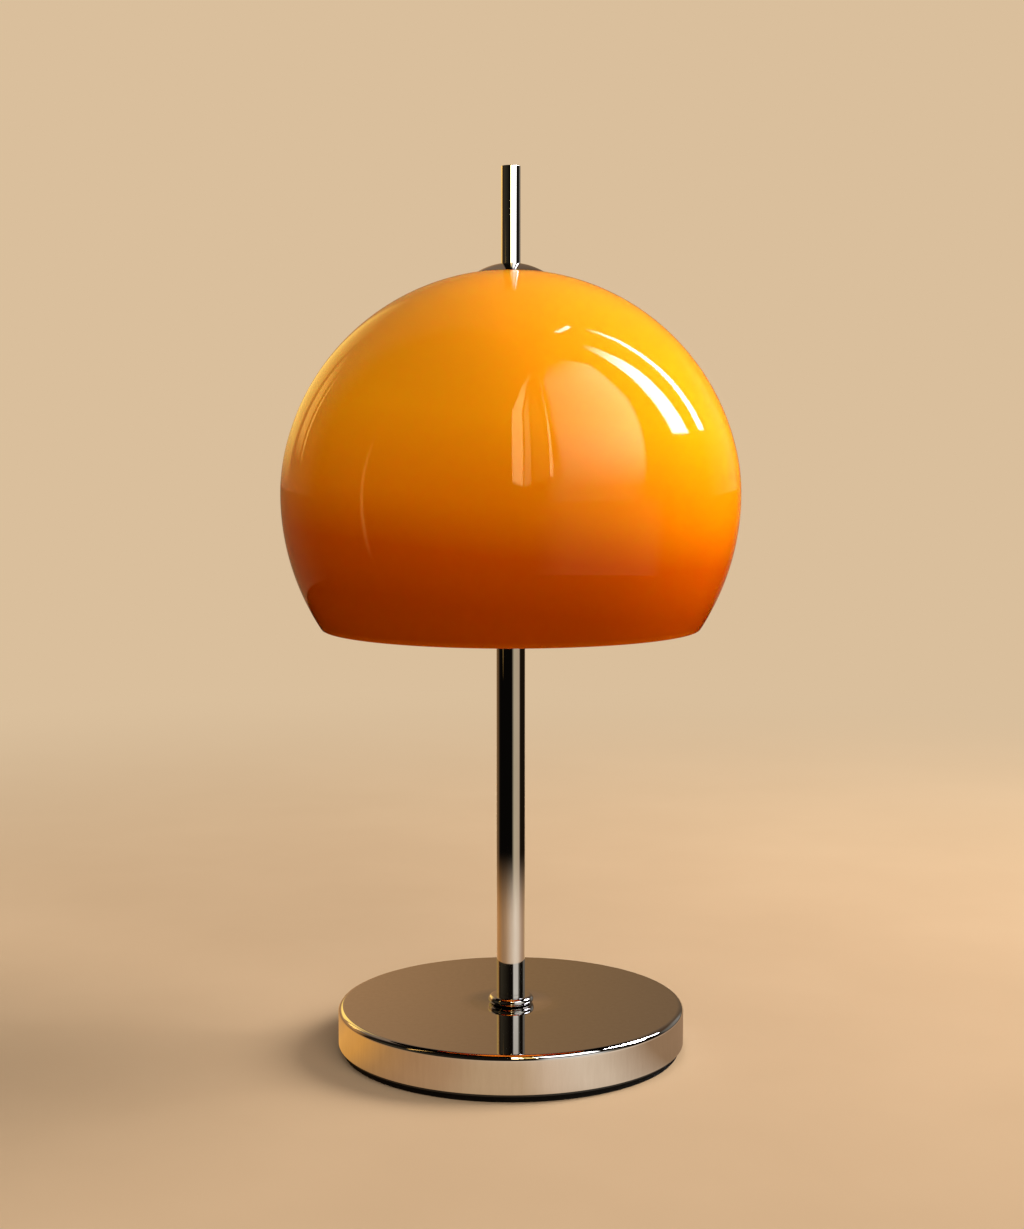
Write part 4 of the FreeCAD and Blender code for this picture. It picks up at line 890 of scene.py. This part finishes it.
# Painted highlight along the rim.
rim_highlight_share = add(tree, "ShaderNodeMapRange", {
    "Value": axes.outputs["Z"], "From Min": RIM_TOP, "From Max": RIM_TOP + RIM_HIGHLIGHT_BAND,
    "To Min": RIM_HIGHLIGHT_SHARE, "To Max": 0.0})
tint = add(tree, "ShaderNodeMixRGB", {0: rim_highlight_share.outputs["Result"], 1: tint.outputs["Color"],
                                      2: colour(RIM_HIGHLIGHT_TINT)})
skin = add(tree, "ShaderNodeBsdfPrincipled", {
    "Base Color": tint.outputs["Color"], "Roughness": 0.035, "IOR": 1.34,
    "Specular Tint": colour("#FFEACC"), "Subsurface Weight": 0.6,
    "Subsurface Scale": 1.0, "Subsurface Radius": (4 * MM, 1.6 * MM, 0.6 * MM)})
add(tree, "ShaderNodeOutputMaterial", {"Surface": skin.outputs["BSDF"]})
settle(shade, acrylic, "head", "orange_acrylic", "shade")

# ---- shade carrier ---------------------------------------------------------------------------
# Turned brass flange that carries the shade, held on the rod by two grub screws: fine rings of the
# lathe tool.
TURNING = 0.5 * MM
brass, tree = new_finish("turned_brass")
place = add(tree, "ShaderNodeTexCoord")
turned_rings = add(tree, "ShaderNodeTexWave", {
    "Vector": place.outputs["Object"], "Scale": 1 / TURNING},
    wave_type="RINGS", rings_direction="Z")
tint = add(tree, "ShaderNodeValToRGB", {"Fac": turned_rings.outputs["Fac"]},
           stops=[(0.0, "#B08D4A"), (1.0, "#C9A65C")])
skin = add(tree, "ShaderNodeBsdfPrincipled", {
    "Base Color": tint.outputs["Color"], "Metallic": 1.0, "Roughness": 0.3})
add(tree, "ShaderNodeOutputMaterial", {"Surface": skin.outputs["BSDF"]})
dress(brass, "shade_carrier")

# ---- cap -------------------------------------------------------------------------------------
# Spun chromed cap, a shallow dome with a thin edge.  It is screwed on the neck of the carrier,
# down on the crown of the shade.
low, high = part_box("cap")
CAP_RISE = 5 * MM
CAP_BORE = 5.35 * MM
CAP_LIP = 0.35 * MM
CAP_SHELL = 1.3 * MM
CAP_SEAT = 0.1 * MM                 # how far its edge stands off the crown
CAP_HOLLOW, CAP_HOLLOW_RADIUS = 1.6 * MM, 12 * MM
CAP_EDGE_LIFT = 0.02 * MM
cap_edge_height = EQUATOR - crown_drop + math.sqrt((crown_radius + CAP_SEAT) ** 2 - high.x ** 2)
dome_radius = (high.x ** 2 + CAP_RISE ** 2) / (2 * CAP_RISE)
dome_centre = cap_edge_height + CAP_RISE - dome_radius
edge_angle = math.degrees(math.atan2(cap_edge_height - dome_centre, high.x))
bore_angle = math.degrees(math.acos(CAP_BORE / dome_radius))
bore_top = dome_centre + dome_radius * math.sin(math.radians(bore_angle))
cap = lathe("crown_cap", (high.x, cap_edge_height), [
    ("arc", 0, dome_centre, bore_angle - edge_angle, 14),
    ("to", CAP_BORE, bore_top - CAP_SHELL),
    ("to", CAP_HOLLOW_RADIUS, bore_top - CAP_SHELL - CAP_HOLLOW),
    ("to", high.x - 2 * CAP_LIP, cap_edge_height + CAP_EDGE_LIFT),
    ("to", high.x, cap_edge_height),
], steps=128)
settle(cap, chrome, "head", "chrome_plate", "cap")

# ---- wiring ----------------------------------------------------------------------------------
# Round PVC-sheathed cable and leads, warm grey and faintly dimpled, from the terminal block up the
# stem and the rod to the lampholders.
DIMPLE = 1 * MM
sheath, tree = new_finish("pvc_sheath")
place = add(tree, "ShaderNodeTexCoord")
dimples = add(tree, "ShaderNodeTexNoise", {"Vector": place.outputs["Object"], "Scale": 1 / DIMPLE})
tint = add(tree, "ShaderNodeValToRGB", {"Fac": dimples.outputs["Fac"]},
           stops=[(0.3, "#BDB8AB"), (0.7, "#C9C4B8")])
skin = add(tree, "ShaderNodeBsdfPrincipled", {"Base Color": tint.outputs["Color"],
                                              "Roughness": 0.5})
add(tree, "ShaderNodeOutputMaterial", {"Surface": skin.outputs["BSDF"]})
dress(sheath, "base_cable", "rod_cable", "arm_leads")

# ---- sizes -----------------------------------------------------------------------------------
low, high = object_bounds()
